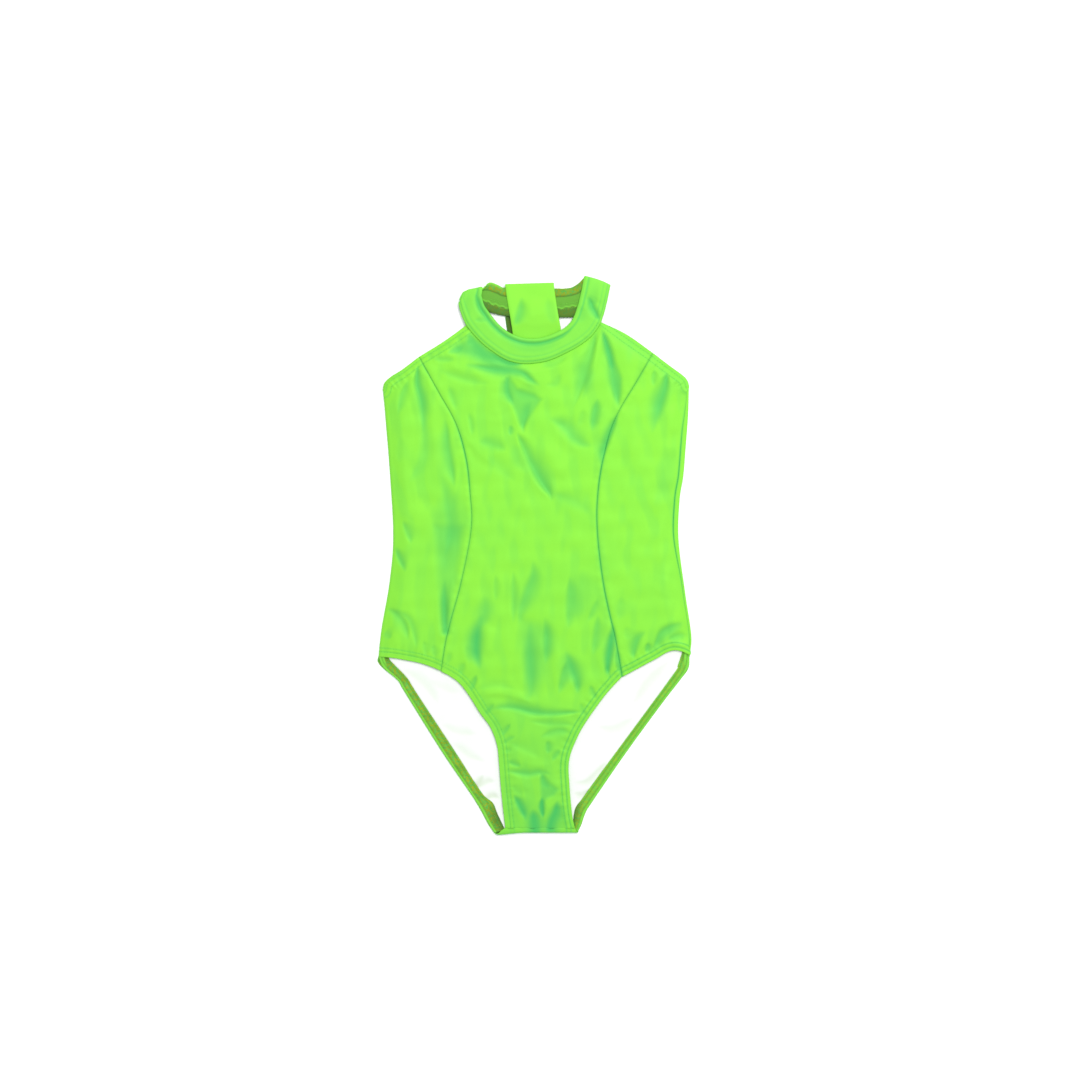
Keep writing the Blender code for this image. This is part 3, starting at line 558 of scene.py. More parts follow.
LOWER_CREASES = creases(
    # Beside the left seam, and the left hip
    Hollow(through(-101, 30, -73, 30, -79, -18, -85, -48, -90, -80, -94, -50, -98.5, -16), -0.8,
      0.34, 5),
    ((-91, -22, -91.8, -44, -91.4, -62, -90, -80), 2.6, -1.5, 0.74, 0, 0.5, 0.08),
    ((-84, -20, -85.5, -42, -87.5, -64), 2.6, 0.6),
    ((-142, 10, -136.5, -2, -130, -16), 2.5, -1, 0.52),
    ((-151, -51, -139, -57.5, -130.5, -69, -127.5, -85), 2.8, -1.2, 0.4, -0.3),
    ((-141, -53, -127, -63, -121, -80, -119.5, -96), 2.2, -0.7, 0.3),
    ((-153, -77, -144, -82), 3.6, -0.7, 0.3),
    ((-112, -84, -110, -100), 2.2, -0.6, 0.2),
    ((-103, -88, -101, -102), 2.2, -0.6, 0.2),
    ((-70, -88, -66, -108), 2.6, -0.5, 0.16),
    # Upright creases across the belly
    ((-52, -38, -51, -54, -55, -72), 5, -0.8, 0.42, 0, 0.5, 0.3),
    ((-54, -58, -58.5, -76, -59.5, -96, -55, -114), 4.8, -1.6, 0.86, -0.15, 0.45, 0.35),
    ((-47, -66, -47, -104), 5, 0.5),
    ((-40.5, -18, -40.5, -46), 2.2, -0.5, 0.2),
    ((-23, -14, -22.6, -44, -23, -68), 2.5, -0.9, 0.3),
    ((-3.5, -4, -2.7, -19, -8, -34, -14.3, -52, -17, -68), 4.6, -1.3, 0.5, 0.3, 0.3, 0.35),
    Hollow(through(-15, -62, 4, -68, 13, -72, 13, -100, 7, -124, 1, -140, -8, -140, -9, -110),
      -0.6, 0.3, 6.5),
    ((-5, -64, -6.5, -90, -5, -116, -5, -142), 4.6, -1.5, 0.58, 0, 0.5, 0.35),
    ((8, -60, 10.6, -80, 9.4, -108), 3.6, -1.3, 0.52, 0.4, 0.45, 0.3),
    ((33.5, -20, 33, -46, 32, -74), 4.2, -1, 0.42, 0.45),
    ((46, -12, 44, -38, 38, -62), 8, -0.4, 0.22),
    ((62, -58, 59.5, -80, 56.5, -100), 3.4, -1.2, 0.42, 0.3),
    ((62, -42, 57, -54, 51, -66), 2.2, -0.7, 0.3),
    ((29, -94, 34.5, -109, 40, -124, 41.5, -138), 3.8, -1.4, 0.64, 0.3, 0.4, 0.2),
    ((31, -104, 26.5, -122, 22.5, -138), 3, -1.1, 0.46),
    ((26, -96, 30, -112, 32, -128), 6, -0.3, 0.22),
    ((-30, -70, -32, -124), 9, 0.5),
    ((20, -86, 20, -132), 6, 0.5),
    # Beside the right seam, and the right hip
    ((77.5, -68, 74.5, -88, 72, -104, 71.5, -119), 3.4, -1.8, 0.88, 0, 0.3, 0.12),
    ((80, -92, 81, -106, 84, -118), 2, -0.9, 0.5),
    ((85, -40, 82.5, -64), 4, -0.4, 0.2),
    ((90, -70, 91, -84), 3, -0.4, 0.16),
    ((110, -75, 101.5, -83, 98, -95, 97.5, -103), 3.2, -1.3, 0.58, -0.3, 0.45, 0.2),
    ((112, -86, 110, -97), 2.3, -1.1, 0.52),
    ((116, -95, 120, -87, 125, -77, 134, -71, 150, -66), 3.8, -1.4, 0.56, -0.4, 0.25, 0.5),
    ((131, -84, 141, -80, 153, -79), 2.8, -1, 0.32, -0.2),
    ((126, -44, 136, -20), 10, 0.4),
    # Puckers along the leg edges
    ((-66, -136, -62, -128, -59, -118), 1.9, -1, 0.46),
    ((-76, -119, -71, -106), 2.4, -0.8, 0.22),
    ((-88, -108, -85, -96), 2.4, -0.6, 0.18),
    ((-51, -160, -46, -153, -41, -147), 1.6, -0.7, 0.34),
    ((61, -143, 57, -135, 54, -128), 1.8, -0.8, 0.4),
    ((76, -124, 72, -116, 70, -108), 1.8, -0.7, 0.34),
    ((51, -160, 47, -153, 44, -146), 1.6, -0.6, 0.28),
    # Across the top of the crotch
    ((-51, -156, -38, -151.5, -21, -151.5, -3, -156.3, 18, -157.5, 46, -155.5), 2.6, -1.2, 0.52,
      0.3, 0.5, 0.15),
    ((-44, -152, -22, -151.6, -2, -155.6, 12, -157), 4.6, -0.4, 0.22, 0.3),
    ((-8, -165, 14, -167.4, 40, -168.5), 2.4, -0.6, 0.22),
    ((-57, -140, -37, -137, -15, -142, -2, -149), 3.6, 0.9),
    ((-60, -133, -40, -129, -20, -133), 3.4, -0.4, 0.14),
    ((-34, -180, -29, -173, -25, -167), 1.7, -0.7, 0.4),
    ((-33, -188, -27, -183, -20, -180), 1.5, -0.5, 0.32),
    ((-31, -196, -24, -193), 1.4, -0.4, 0.2),
    ((4, -181, 14, -176.5, 24, -174, 36, -176), 2.7, -0.8, 0.32, -0.2),
    ((16, -205, 20, -199, 25, -193), 2, -0.7, 0.4),
    ((10.4, -184, 12, -190, 11.6, -198), 2.5, -0.8, 0.44),
    ((-27, -186, -8, -194, 6, -202), 3.6, -0.5, 0.12),
    ((-29, -204, -22, -208, -14, -210), 2, -0.7, 0.42),
    # Towards the crotch seam
    ((-31, -214, -18, -216.5, -6, -217.5, 6, -216, 16, -218.5), 2.6, -1.3, 0.46, 0.2),
    ((-25, -202, -4, -207, 20, -209), 4, 0.4),
    Hollow(through(4.4, -218, 8, -218, 10.5, -224, 18, -229.5, 22.5, -233, 18, -239, 11, -242,
      8, -246, 5.2, -241, 4.6, -230), -0.9, 0.5, 2.6),
    ((6, -217, 7.5, -226, 13, -233), 2.6, -0.4, 0.36),
    ((6.4, -240, 5.8, -250, 7.2, -262), 2, -1.4, 1, 0, 0.3, 0.25),
    ((-16, -225, -5, -234), 4, 0.5),
    ((-25, -229, -13, -240), 2.8, -0.6, 0.18),
    ((-22.5, -238, -17, -248, -12, -258, -10, -265), 3.2, -1.5, 0.85, 0.3),
    ((-3.2, -252, -2.2, -262, -1, -274, -1, -284), 5, -1.5, 0.92, 0, 0.3, 0.02),
    ((21.5, -244, 19, -256, 15, -265, 12.5, -277), 4.4, -1.5, 0.9, 0.3, 0.25, 0.1),
)

BACK_CREASES = creases(
    ((-96, 112, -60, 60, -22, 18), 6, 0.5),
    ((70, 120, 58, 70, 64, 22), 6, 0.5),
    ((-8, 104, -2, 62, -10, 24), 5, 0.42),
    ((-118, 60, -110, 10, -116, -30), 6, 0.45),
    ((108, 46, 100, 4, 108, -40), 6, 0.45),
    ((-70, -20, -20, -34, 34, -28, 84, -40), 7, 0.5),
    ((-120, -66, -70, -92, -28, -98), 6, 0.5),
    ((118, -70, 80, -96, 30, -102), 6, 0.5),
    ((-78, -150, -40, -162, -6, -158), 5, 0.45),
    ((70, -150, 40, -166, 6, -160), 5, 0.45),
    ((-30, -206, 0, -214, 28, -208), 5, 0.4),
    ((-8, -232, -4, -262), 4, 0.4),
)

LINING_CREASES = creases(
    ((-134, -112, -112, -128, -96, -150), 3.6, -0.45, 0.3),
    ((-120, -108, -98, -132, -84, -160), 3.4, 0.2),
    ((-96, -168, -78, -176, -58, -178), 3, -0.45, 0.25),
    ((-84, -186, -66, -200, -50, -206), 3, -0.5, 0.3),
    ((-66, -236, -58, -228, -52, -218), 2.4, -0.6, 0.55),
    ((-60, -233, -50, -226, -40, -225), 2.2, -0.5, 0.45),
    ((-52, -244, -44, -240, -36, -242), 2.2, -0.6, 0.6),
    ((-106, -124, -88, -134, -74, -136), 3, -0.3, 0.2),
    ((134, -104, 112, -124, 96, -150), 3.6, -0.45, 0.3),
    ((120, -114, 98, -138, 84, -166), 3.6, 0.2),
    ((100, -160, 78, -172, 58, -170), 3, -0.45, 0.25),
    ((72, -204, 52, -224, 38, -226), 2.6, -0.5, 0.45),
    ((60, -212, 46, -222, 36, -220), 2.4, 0.2),
    ((56, -232, 46, -238, 37, -236), 2.4, -0.5, 0.45),
)

BAND_CREASES = creases(
    # The crease under the rolled neck edge, and the dents beside it
    ((-59, 262, -56.5, 249, -50, 239, -41, 228.8, -31, 220.4, -20, 214.6, -8, 211.9, 6, 212.2,
      18, 215.6, 29, 220.8, 38, 229), 2, -0.9, 0.62, 0, 0.1, 0.15),
    ((-30, 214, -12, 207, 8, 207, 26, 213), 4, -0.2, 0.16),
    ((-60, 265, -57.5, 253, -52, 243, -46, 236), 2.8, -0.5, 0.34),
    ((-62, 235.5, -54, 235, -47, 236.5), 1.7, -0.4, 0.28),
    ((-67, 262, -70, 250, -66, 238), 2, -0.2, 0.14),
    ((53, 259, 56, 249.5, 60, 242, 63.5, 235), 2.4, -1.2, 0.78, -0.2, 0.3, 0.2),
    ((49, 257, 55, 255, 61, 251), 3.2, -0.5, 0.34),
    ((44, 250, 46, 240, 42, 232), 2.6, -0.3, 0.18),
    ((60, 264, 65, 252), 3.6, 0.3),
    ((-14, 200, 8, 200), 4, 0.25),
)

STRAP_CREASES = creases(
    ((-14.5, 259, -15.5, 248, -18.5, 237, -22.5, 226), 3.2, -0.9, 0.5, 0.3, 0.35, 0.2),
    ((11, 258, 14, 242, 18, 230), 4, -0.3, 0.2),
    ((-4, 262, -2, 232), 7, 0.3),
)


def relief(creases: Sequence[Crease | Hollow], x: Array, y: Array) -> tuple[Array, Array]:
    """What the creases add at the points (x, y).

    Args:
        creases: the creases and hollows.
        x: the points' x.
        y: the points' y.

    Returns:
        The heights, and the painted shade that darkens the cloth's colour, from 0 to 1.
    """
    total, shades = np.zeros(x.shape), np.zeros(x.shape)
    for crease in creases:
        crease.add_to(total, shades, x, y)
    return total, shades


def darker(shades: Array, more: Array | float) -> Array:
    """Two layers of shade together, from 0 to 1."""
    return 1 - (1 - shades) * (1 - np.clip(more, 0, 1))


def unevenness(x: Array, y: Array, height: float, seed: int) -> Array:
    """A slow, slight swell over the points (x, y), the same at each run.

    Args:
        x: the points' x.
        y: the points' y.
        height: about how high the swell stands.
        seed: the number that fixes its waves.

    Returns:
        The heights.
    """
    rng = np.random.default_rng(seed)
    total = np.zeros(x.shape)
    for _ in range(9):
        length, heading, phase = rng.uniform(16, 60), rng.uniform(0, math.pi), rng.uniform(0, 6.3)
        total += np.sin((x * math.cos(heading) + y * math.sin(heading)) * 6.283 / length + phase)
    return total * height / 3


def puckers(at: Array, spacing: Point, least: float, count: int, seed: int) -> Array:
    """Uneven puckers along a line, from -1 to 1, the same at each run.

    Args:
        at: how far along the line each point lies.
        spacing: the least and the most way between two puckers.
        least: the weakest pucker's strength.
        count: how many puckers are drawn.
        seed: the number that fixes them.

    Returns:
        The puckers' strengths.
    """
    rng = np.random.default_rng(seed)
    place = np.concatenate([[0], np.cumsum(rng.uniform(*spacing, count))])
    size = rng.uniform(least, 1.0, len(place))
    wave = np.cos(2 * math.pi * np.interp(at, place, np.arange(len(place))))
    return wave * np.interp(at, place, size)


def streaks(x: Array, y: Array, seed: int) -> Array:
    """Slight upright streaks over the points (x, y), from -1 to 1, the same at each run.

    Args:
        x: the points' x.
        y: the points' y.
        seed: the number that fixes its waves.

    Returns:
        The streaks' strengths.
    """
    rng = np.random.default_rng(seed)
    total = np.zeros(x.shape)
    for _ in range(10):
        across, down = rng.uniform(9, 30), rng.uniform(50, 130) * rng.choice((-1, 1))
        first, second = rng.uniform(0, 6.3, 2)
        bend = 1.2 * np.sin(y / rng.uniform(14, 26) + second)
        total += np.sin(6.283 * (x / across + y / down) + first + bend) * across / 30
    return np.clip(total / 2.4, -1, 1)


@dataclass(frozen=True)
class TurnedHem:
    """An edge turned in and sewn down with two rows of stitches."""

    depth: float = 9.2
    rise: float = 0.34
    rows: Point = (4.0, 8.0)
    groove: float = 0.26
    pucker: float = 0.3
    pucker_length: Point = (5.0, 9.0)
    pucker_reach: float = 5.0
    least_pucker: float = 0.25
    line: float = 0.36

    def height(self, away: Array, along: Array, length: float, seed: int) -> Array:
        """The height that the hem adds.

        Args:
            away: the distances from the edge.
            along: the shares of the way along the edge.
            length: the edge's length.
            seed: the number that fixes its puckers.

        Returns:
            The heights.
        """
        grooves = sum(bump(away - row, 0.75) for row in self.rows) * self.groove
        count = int(length / self.pucker_length[0]) + 3
        pulled = puckers(along * length, self.pucker_length, self.least_pucker, count, seed)
        pulled = pulled * self.pucker * bump(away - self.rows[1], self.pucker_reach)
        return self.doubled(away) * self.rise - grooves + pulled

    def doubled(self, away: Array) -> Array:
        """Where the cloth is doubled: 1 on the hem and 0 past it."""
        return 1 - ease_between(away, (self.depth - 0.8, self.depth + 0.9))

    def shade(self, away: Array) -> Array:
        """How deep the cloth's colour turns along the rows of stitches."""
        return sum(bump(away - row, 0.8) for row in self.rows) * self.line


@dataclass(frozen=True)
class SewnSeam:
    """A plain seam between two panels: a groove with a soft ridge on each side."""

    lines: tuple[Line, Line] = (
        ((-116, 0.25), (-100, 0.5), (-60, 0.6), (-20, 0.5), (20, 0.45), (60, 0.5), (84, 0.85),
         (118, 0.85), (128, 0.5), (150, 0.35), (176, 0.4), (190, 0.6), (199, 0.15)),
        ((-121, 0.9), (-60, 0.9), (0, 0.85), (60, 0.8), (80, 0.95), (112, 0.9), (124, 0.5),
         (150, 0.4), (168, 0.5), (192, 0.45), (203, 0.15)),
    )
    line_width: float = 1.15
    groove: float = 0.5
    groove_width: float = 1.3
    ridge: float = 0.16
    ridge_away: float = 4.2
    pucker: float = 0.14
    pucker_length: Point = (6.0, 13.0)
    least_pucker: float = 0.1

    def shade(self, away: Array, y: Array, which: int) -> Array:
        """How deep the cloth's colour turns along a seam, which is 0 on the left."""
        heights, strengths = np.array(self.lines[which]).T
        return np.interp(y, heights, strengths) * bump(away, self.line_width)

    def height(self, away: Array, along: Array, length: float, seed: int) -> Array:
        """The height that the seam adds, from the distances and the shares along it.

        Args:
            away: the distances from the seam.
            along: the shares of the way along it.
            length: the seam's length.
            seed: the number that fixes its puckers.

        Returns:
            The heights.
        """
        count = int(length / self.pucker_length[0]) + 3
        pulled = puckers(along * length, self.pucker_length, self.least_pucker, count, seed)
        pulled = pulled * self.pucker * bump(away - 2.5, 3.5)
        ridge = self.ridge * bump(away - self.ridge_away, 2.4)
        return pulled + ridge - self.groove * bump(away, self.groove_width)


# --- Finishes


class Nodes:
    """Adds nodes to a tree and joins them."""

    def __init__(self, tree: bpy.types.NodeTree) -> None:
        """Works on this tree."""
        self.tree = tree

    def add(self, kind: str, inputs: dict[str | int, object] | None = None,
            **settings: object) -> bpy.types.Node:
        """Adds a node.

        Args:
            kind: the node's type.
            inputs: values or output sockets for its inputs, by name or index.
            settings: the node's own properties.

        Returns:
            The node.
        """
        node = self.tree.nodes.new(kind)
        for name, value in settings.items():
            setattr(node, name, value)
        for name, value in (inputs or {}).items():
            if isinstance(value, Socket):
                self.tree.links.new(value, node.inputs[name])
            else:
                node.inputs[name].default_value = value
        return node

    def math(self, operation: str, *values: object) -> Socket:
        """Values or sockets taken together."""
        inputs = dict(enumerate(values))
        return self.add("ShaderNodeMath", inputs, operation=operation).outputs["Value"]


@dataclass(frozen=True)
class Noise:
    """A noise over a piece, taken from a span to the range from low to high.

    Attributes:
        scale: its waves a metre.
        detail: how many finer noises it holds.
        low: what the span's first value becomes.
        high: what the span's second value becomes.
        span: the span of the noise that is taken.
        roughness: how strong the finer noises are.
    """

    scale: float
    detail: float
    low: float = 0.0
    high: float = 1.0
    span: Point = (0.3, 0.7)
    roughness: float = 0.5


class NodeMaker(Nodes):
    """Makes a material, adds nodes to it and joins them."""

    def __init__(self, name: str) -> None:
        """Makes the material with a shader and its coordinates."""
        self.material = bpy.data.materials.new(name)
        self.material.use_nodes = True
        super().__init__(self.material.node_tree)
        self.shader = self.tree.nodes["Principled BSDF"]
        self.place = self.add("ShaderNodeTexCoord").outputs["Object"]

    def noise(self, noise: Noise) -> Socket:
        """A noise over the piece, as it is."""
        inputs = {"Vector": self.place, "Scale": noise.scale, "Detail": noise.detail,
                  "Roughness": noise.roughness}
        return self.add("ShaderNodeTexNoise", inputs).outputs["Fac"]

    def remap(self, noise: Noise) -> Socket:
        """A noise over the piece, taken from its span to its range."""
        inputs = {"Value": self.noise(noise), "From Min": noise.span[0],
                  "From Max": noise.span[1], "To Min": noise.low, "To Max": noise.high}
        return self.add("ShaderNodeMapRange", inputs).outputs["Result"]

    def mix(self, share: object, first: object, second: object) -> Socket:
        """A colour between two.

        Args:
            share: how far the colour is the second one.
            first: a colour or its socket.
            second: a colour or its socket.

        Returns:
            The colour's socket.
        """
        node = self.add("ShaderNodeMix", {"Factor": share}, data_type="RGBA")
        for index, value in ((6, first), (7, second)):
            if isinstance(value, Socket):
                self.tree.links.new(value, node.inputs[index])
            else:
                node.inputs[index].default_value = (*value, 1)
        return node.outputs[2]

    def turned(self, name: str, colour: object, other: Colour) -> Socket:
        """The colour turned to another as far as an attribute says."""
        share = self.add("ShaderNodeAttribute", attribute_name=name).outputs["Fac"]
        return self.mix(share, colour, other)

    def knit(self, pitch: float) -> Socket:
        """The height of a fine knit of a pitch in millimetres: wales along Y, courses across."""
        per_wave = 2 * math.pi / 20
        wales, courses = (
            self.add("ShaderNodeTexWave", {
                "Vector": self.place, "Scale": per_wave / (width * MM), "Distortion": 0.6,
                "Detail": 1.0, "Detail Scale": 0.6,
            }, wave_type="BANDS", bands_direction=direction).outputs["Fac"]
            for direction, width in (("X", pitch), ("Y", pitch * 0.8))
        )
        return self.math("MULTIPLY_ADD", wales, self.math("ADD", courses, 0.4))

    def finish(self, colour: Socket, roughness: Socket, height: Socket, strength: float,
               depth: float) -> bpy.types.Material:
        """Joins what changes over the piece to the shader.

        Args:
            colour: the colour.
            roughness: the roughness.
            height: the bump's height.
            strength: the bump's strength.
            depth: the bump's depth in millimetres.

        Returns:
            The material.
        """
        bumped = self.add("ShaderNodeBump", {
            "Height": height, "Strength": strength, "Distance": depth * MM,
        })
        links = self.tree.links
        links.new(colour, self.shader.inputs["Base Color"])
        links.new(roughness, self.shader.inputs["Roughness"])
        links.new(bumped.outputs["Normal"], self.shader.inputs["Normal"])
        return self.material


Patches = tuple[tuple[Noise, Colour], ...]
Turns = tuple[tuple[str, Colour], ...]


@dataclass(frozen=True)
class Finish:
    """What every finish has.

    Attributes:
        name: the material's name.
        lit: its first colour.
        patches: the colours laid over it, each where its noise is high.
        turns: the attributes of the mesh that turn the colour, and what to.
        rough: its roughness.
        surface: the noise that its surface is bumped by.
        pitch: the pitch of its knit, where it is knitted.
        strength: how strong the bump is.
        depth: how deep the bump is.
        metallic: the shader's metallic share.
        gloss: the shader's specular level.
        tint: the colour of its gloss.
        sheen: the shader's sheen.
        sheen_rough: how soft the sheen is.
        sheen_tint: the colour of its sheen.
    """

    name: str
    lit: Colour
    rough: Noise
    surface: Noise
    strength: float
    depth: float
    gloss: float
    patches: Patches = ()
    turns: Turns = ()
    pitch: float = 0.0
    metallic: float = 0.0
    tint: Colour = (1.0, 1.0, 1.0)
    sheen: float = 0.0
    sheen_rough: float = 0.5
    sheen_tint: Colour = (1.0, 1.0, 1.0)

    def make(self) -> bpy.types.Material:
        """Makes the material.

        Returns:
            The material, with what is the same all over on the shader's own sockets.
        """
        nodes = NodeMaker(self.name)
        for socket, value in (
            ("Metallic", self.metallic), ("Specular IOR Level", self.gloss),
            ("Specular Tint", (*self.tint, 1)), ("Sheen Weight", self.sheen),
            ("Sheen Roughness", self.sheen_rough), ("Sheen Tint", (*self.sheen_tint, 1)),
        ):
            nodes.shader.inputs[socket].default_value = value
        colour = self.lit
        for noise, other in self.patches:
            colour = nodes.mix(nodes.remap(noise), colour, other)
        for attribute, other in self.turns:
            colour = nodes.turned(attribute, colour, other)
        height = nodes.noise(self.surface)
        if self.pitch:
            height = nodes.math("MULTIPLY_ADD", height, nodes.knit(self.pitch))
        return nodes.finish(colour, nodes.remap(self.rough), height, self.strength, self.depth)


@dataclass(frozen=True)
class StretchSatin(Finish):
    """The shiny outside of the stretch cloth, its colour painted darker and cooler as painted
    shade, and along the seams.
    """

    name: str = "lime_satin"
    lit: Colour = (0.214, 0.632, 0.043)
    patches: Patches = ((Noise(22, 3, 0, 0.6), (0.184, 0.600, 0.050)),)
    # Where the mesh's attribute says, the colour turns to painted shade, darker and cooler.
    turns: Turns = (("painted_shade_and_seams", (0.056, 0.418, 0.090)),)
    rough: Noise = Noise(60, 2, 0.46, 0.56)
    surface: Noise = Noise(900, 1)
    pitch: float = 0.55
    strength: float = 0.18
    depth: float = 0.12
    metallic: float = 0.06
    gloss: float = 0.4
    tint: Colour = (0.42, 1.0, 0.28)
    sheen: float = 0.08
    sheen_rough: float = 0.45
    sheen_tint: Colour = (0.62, 1.0, 0.30)


@dataclass(frozen=True)
class MatteInside(Finish):
    """The dull, mottled inside of the stretch cloth, greener where its edge turns out, and
    darkened by painted shade and stitch lines.
    """

    name: str = "cloth_inside_matte"
    lit: Colour = (0.290, 0.370, 0.010)
    patches: Patches = (
        (Noise(430, 2, 0, 1, (0.40, 0.60), 0.6), (0.105, 0.440, 0.060)),
        (Noise(110, 3, 0, 0.5), (0.090, 0.230, 0.012)),
        (Noise(760, 1, 0, 0.45, (0.55, 0.72)), (0.090, 0.230, 0.012)),
    )
    turns: Turns = (
        ("bright", (0.174, 0.570, 0.048)), ("painted_shade_and_seams", (0.045, 0.115, 0.015)),
    )
    rough: Noise = Noise(200, 2, 0.72, 0.86)
    surface: Noise = Noise(1400, 3, roughness=0.7)
    pitch: float = 0.8
    strength: float = 0.45
    depth: float = 0.22
    gloss: float = 0.2
    sheen: float = 0.15
    sheen_tint: Colour = (0.6, 1.0, 0.3)


@dataclass(frozen=True)
class WhiteLining(Finish):
    """The soft white knit that lines the back, turned greenish grey by painted shade in its
    creases.
    """

    name: str = "white_lining_knit"
    lit: Colour = (0.752, 0.770, 0.740)
    patches: Patches = ((Noise(40, 3, 0, 0.7), (0.713, 0.752, 0.690)),)
    turns: Turns = (("painted_shade_and_seams", (0.520, 0.610, 0.450)),)
    rough: Noise = Noise(150, 2, 0.75, 0.88)
    surface: Noise = Noise(1100, 2)
    pitch: float = 0.9
    strength: float = 0.3
    depth: float = 0.2
    gloss: float = 0.25
    sheen: float = 0.1


@dataclass(frozen=True)
class SewingThread(Finish):
    """The matching polyester thread."""

    name: str = "green_thread"
    lit: Colour = (0.174, 0.570, 0.052)
    patches: Patches = ((Noise(300, 2), (0.130, 0.485, 0.045)),)
    rough: Noise = Noise(500, 1, 0.4, 0.55)
    surface: Noise = Noise(4000, 1)
    strength: float = 0.3
    depth: float = 0.05
    gloss: float = 0.4
    tint: Colour = (0.6, 1.0, 0.4)


@dataclass(frozen=True)
class FloorPaper(Finish):
    """The plain white paper under the garment."""

    name: str = "studio_paper"
    lit: Colour = (0.97, 0.97, 0.97)
    patches: Patches = ((Noise(3, 1), (0.97, 0.97, 0.97)),)
    rough: Noise = Noise(9, 1, 0.85, 0.95)
    surface: Noise = Noise(400, 1)
    strength: float = 0.02
    depth: float = 0.05
    gloss: float = 0.1


@dataclass
class Finishes:
    """Every material of the garment, made once."""

    outside: bpy.types.Material = field(default_factory=lambda: StretchSatin().make())
    inside: bpy.types.Material = field(default_factory=lambda: MatteInside().make())
    lining: bpy.types.Material = field(default_factory=lambda: WhiteLining().make())
    thread: bpy.types.Material = field(default_factory=lambda: SewingThread().make())

    def of(self, slot: Slot) -> bpy.types.Material:
        """The material that shows a slot."""
        return {Slot.OUTSIDE: self.outside, Slot.INSIDE: self.inside,
                Slot.LINING: self.lining}[slot]


# --- Cloth pieces


def shown(name: str, data: bpy.types.ID) -> bpy.types.Object:
    """A new object with this data, in the scene."""
    made = bpy.data.objects.new(name, data)
    bpy.context.scene.collection.objects.link(made)
    return made


@dataclass
class ClothPiece:
    """One cut piece of cloth: a net of outer points given a wall with rounded edges.

    Attributes:
        node: the CAD node that it stands for.
        outer: its outer face's points (rows, columns, 3).
        wall: its thickness, one number or one a point.
        slot: the record's slot of its outer face.
        facing: which way the outer face looks.
        painted_shade_and_seams: painted shade and dark seam lines, darkening the colour at each
            point, from 0 to 1.
        bright: how far the inside's edge shows the outside's colour, from 0 to 1.
        behind: the slot of the other face, where it isn't the inside of the cloth.
        rim: how far its edges bulge, as a share of the wall.
    """

    node: str
    outer: Array
    wall: float | Array
    slot: Slot
    facing: Facing = Facing.UP
    painted_shade_and_seams: Array | None = None
    bright: Array | None = None
    behind: Slot | None = None
    rim: float = 0.35

    def outward(self) -> Array:
        """The outer face's normal at each point."""
        across, up = np.gradient(self.outer, axis=1), np.gradient(self.outer, axis=0)
        normal = np.cross(across, up) * self.facing.value
        return normal / np.maximum(np.linalg.norm(normal, axis=-1), 1e-9)[..., None]

    def build(self, finishes: Finishes) -> bpy.types.Object:
        """Makes the closed mesh and its object.

        Args:
            finishes: the garment's materials.

        Returns:
            The object, at the origin.
        """
        rows, columns = self.outer.shape[:2]
        normal = self.outward()
        wall = np.broadcast_to(np.asarray(self.wall, float), (rows, columns))
        inner = self.outer - normal * wall[..., None]
        index = np.arange(rows * columns).reshape(rows, columns)
        ring = np.concatenate([index[0], index[1:, -1], index[-1, -2::-1], index[-2:0:-1, 0]])
        flat_outer, flat_inner = self.outer.reshape(-1, 3), inner.reshape(-1, 3)
        middle = (flat_outer[ring] + flat_inner[ring]) / 2
        heading = np.roll(middle, -1, axis=0) - np.roll(middle, 1, axis=0)
        away = np.cross(heading, normal.reshape(-1, 3)[ring]) * self.facing.value
        away = away / np.maximum(np.linalg.norm(away, axis=1), 1e-9)[:, None]
        middle = middle + away * (wall.reshape(-1)[ring] * self.rim)[:, None]

        quads = np.stack([index[:-1, :-1], index[:-1, 1:], index[1:, 1:], index[1:, :-1]], -1)
        quads = quads.reshape(-1, 4)
        count, around = rows * columns, len(ring)
        start, after = ring, np.roll(ring, -1)
        first = 2 * count + np.arange(around)
        second = 2 * count + (np.arange(around) + 1) % around
        upper = np.stack([after, start, first, second], axis=1)
        lower = np.stack([second, first, start + count, after + count], axis=1)
        faces = np.concatenate([quads, quads[:, ::-1] + count, upper, lower])
        if self.facing is Facing.DOWN:
            faces = faces[:, ::-1]

        mesh = bpy.data.meshes.new(self.node)
        points = np.concatenate([flat_outer, flat_inner, middle]) * MM
        mesh.from_pydata(points.tolist(), [], faces.tolist())
        mesh.materials.append(finishes.of(self.slot))
        behind = Slot.INSIDE if self.slot is Slot.OUTSIDE else self.slot
        mesh.materials.append(finishes.of(self.behind or behind))
        of_face = np.zeros(len(faces), dtype=np.int32)
        of_face[len(quads): 2 * len(quads)] = 1
        mesh.polygons.foreach_set("material_index", of_face)
        # The painted shade and seam lines, and where the inside shows the outside's colour,
        # become point attributes that the materials read.
        for name, values in (("painted_shade_and_seams", self.painted_shade_and_seams), ("bright", self.bright)):
            flat = np.zeros(count) if values is None else values.reshape(-1)
            shares = np.concatenate([flat, flat, flat[ring]]).astype(np.float32)
            mesh.attributes.new(name, "FLOAT", "POINT").data.foreach_set("value", shares)
        mesh.shade_smooth()
        mesh.update()
        piece = shown(f"{self.node}_cloth", mesh)
        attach(piece, BODY)
        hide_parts(self.node)
        log.info("%s: %d faces, %d by %d points", piece.name, len(faces), rows, columns)
        return piece


@dataclass(frozen=True)
class Cut:
    """The size that a piece was cut to, in millimetres, and what it lies on."""

    width: float
    length: float
    rests_on: tuple[str, ...]

    def declare(self, piece: bpy.types.Object, area: float,
                sewn_on: Sequence[bpy.types.Object] = ()) -> None:
        """Takes a piece, its area and what is sewn on it, and does nothing with them."""


# --- Stitches


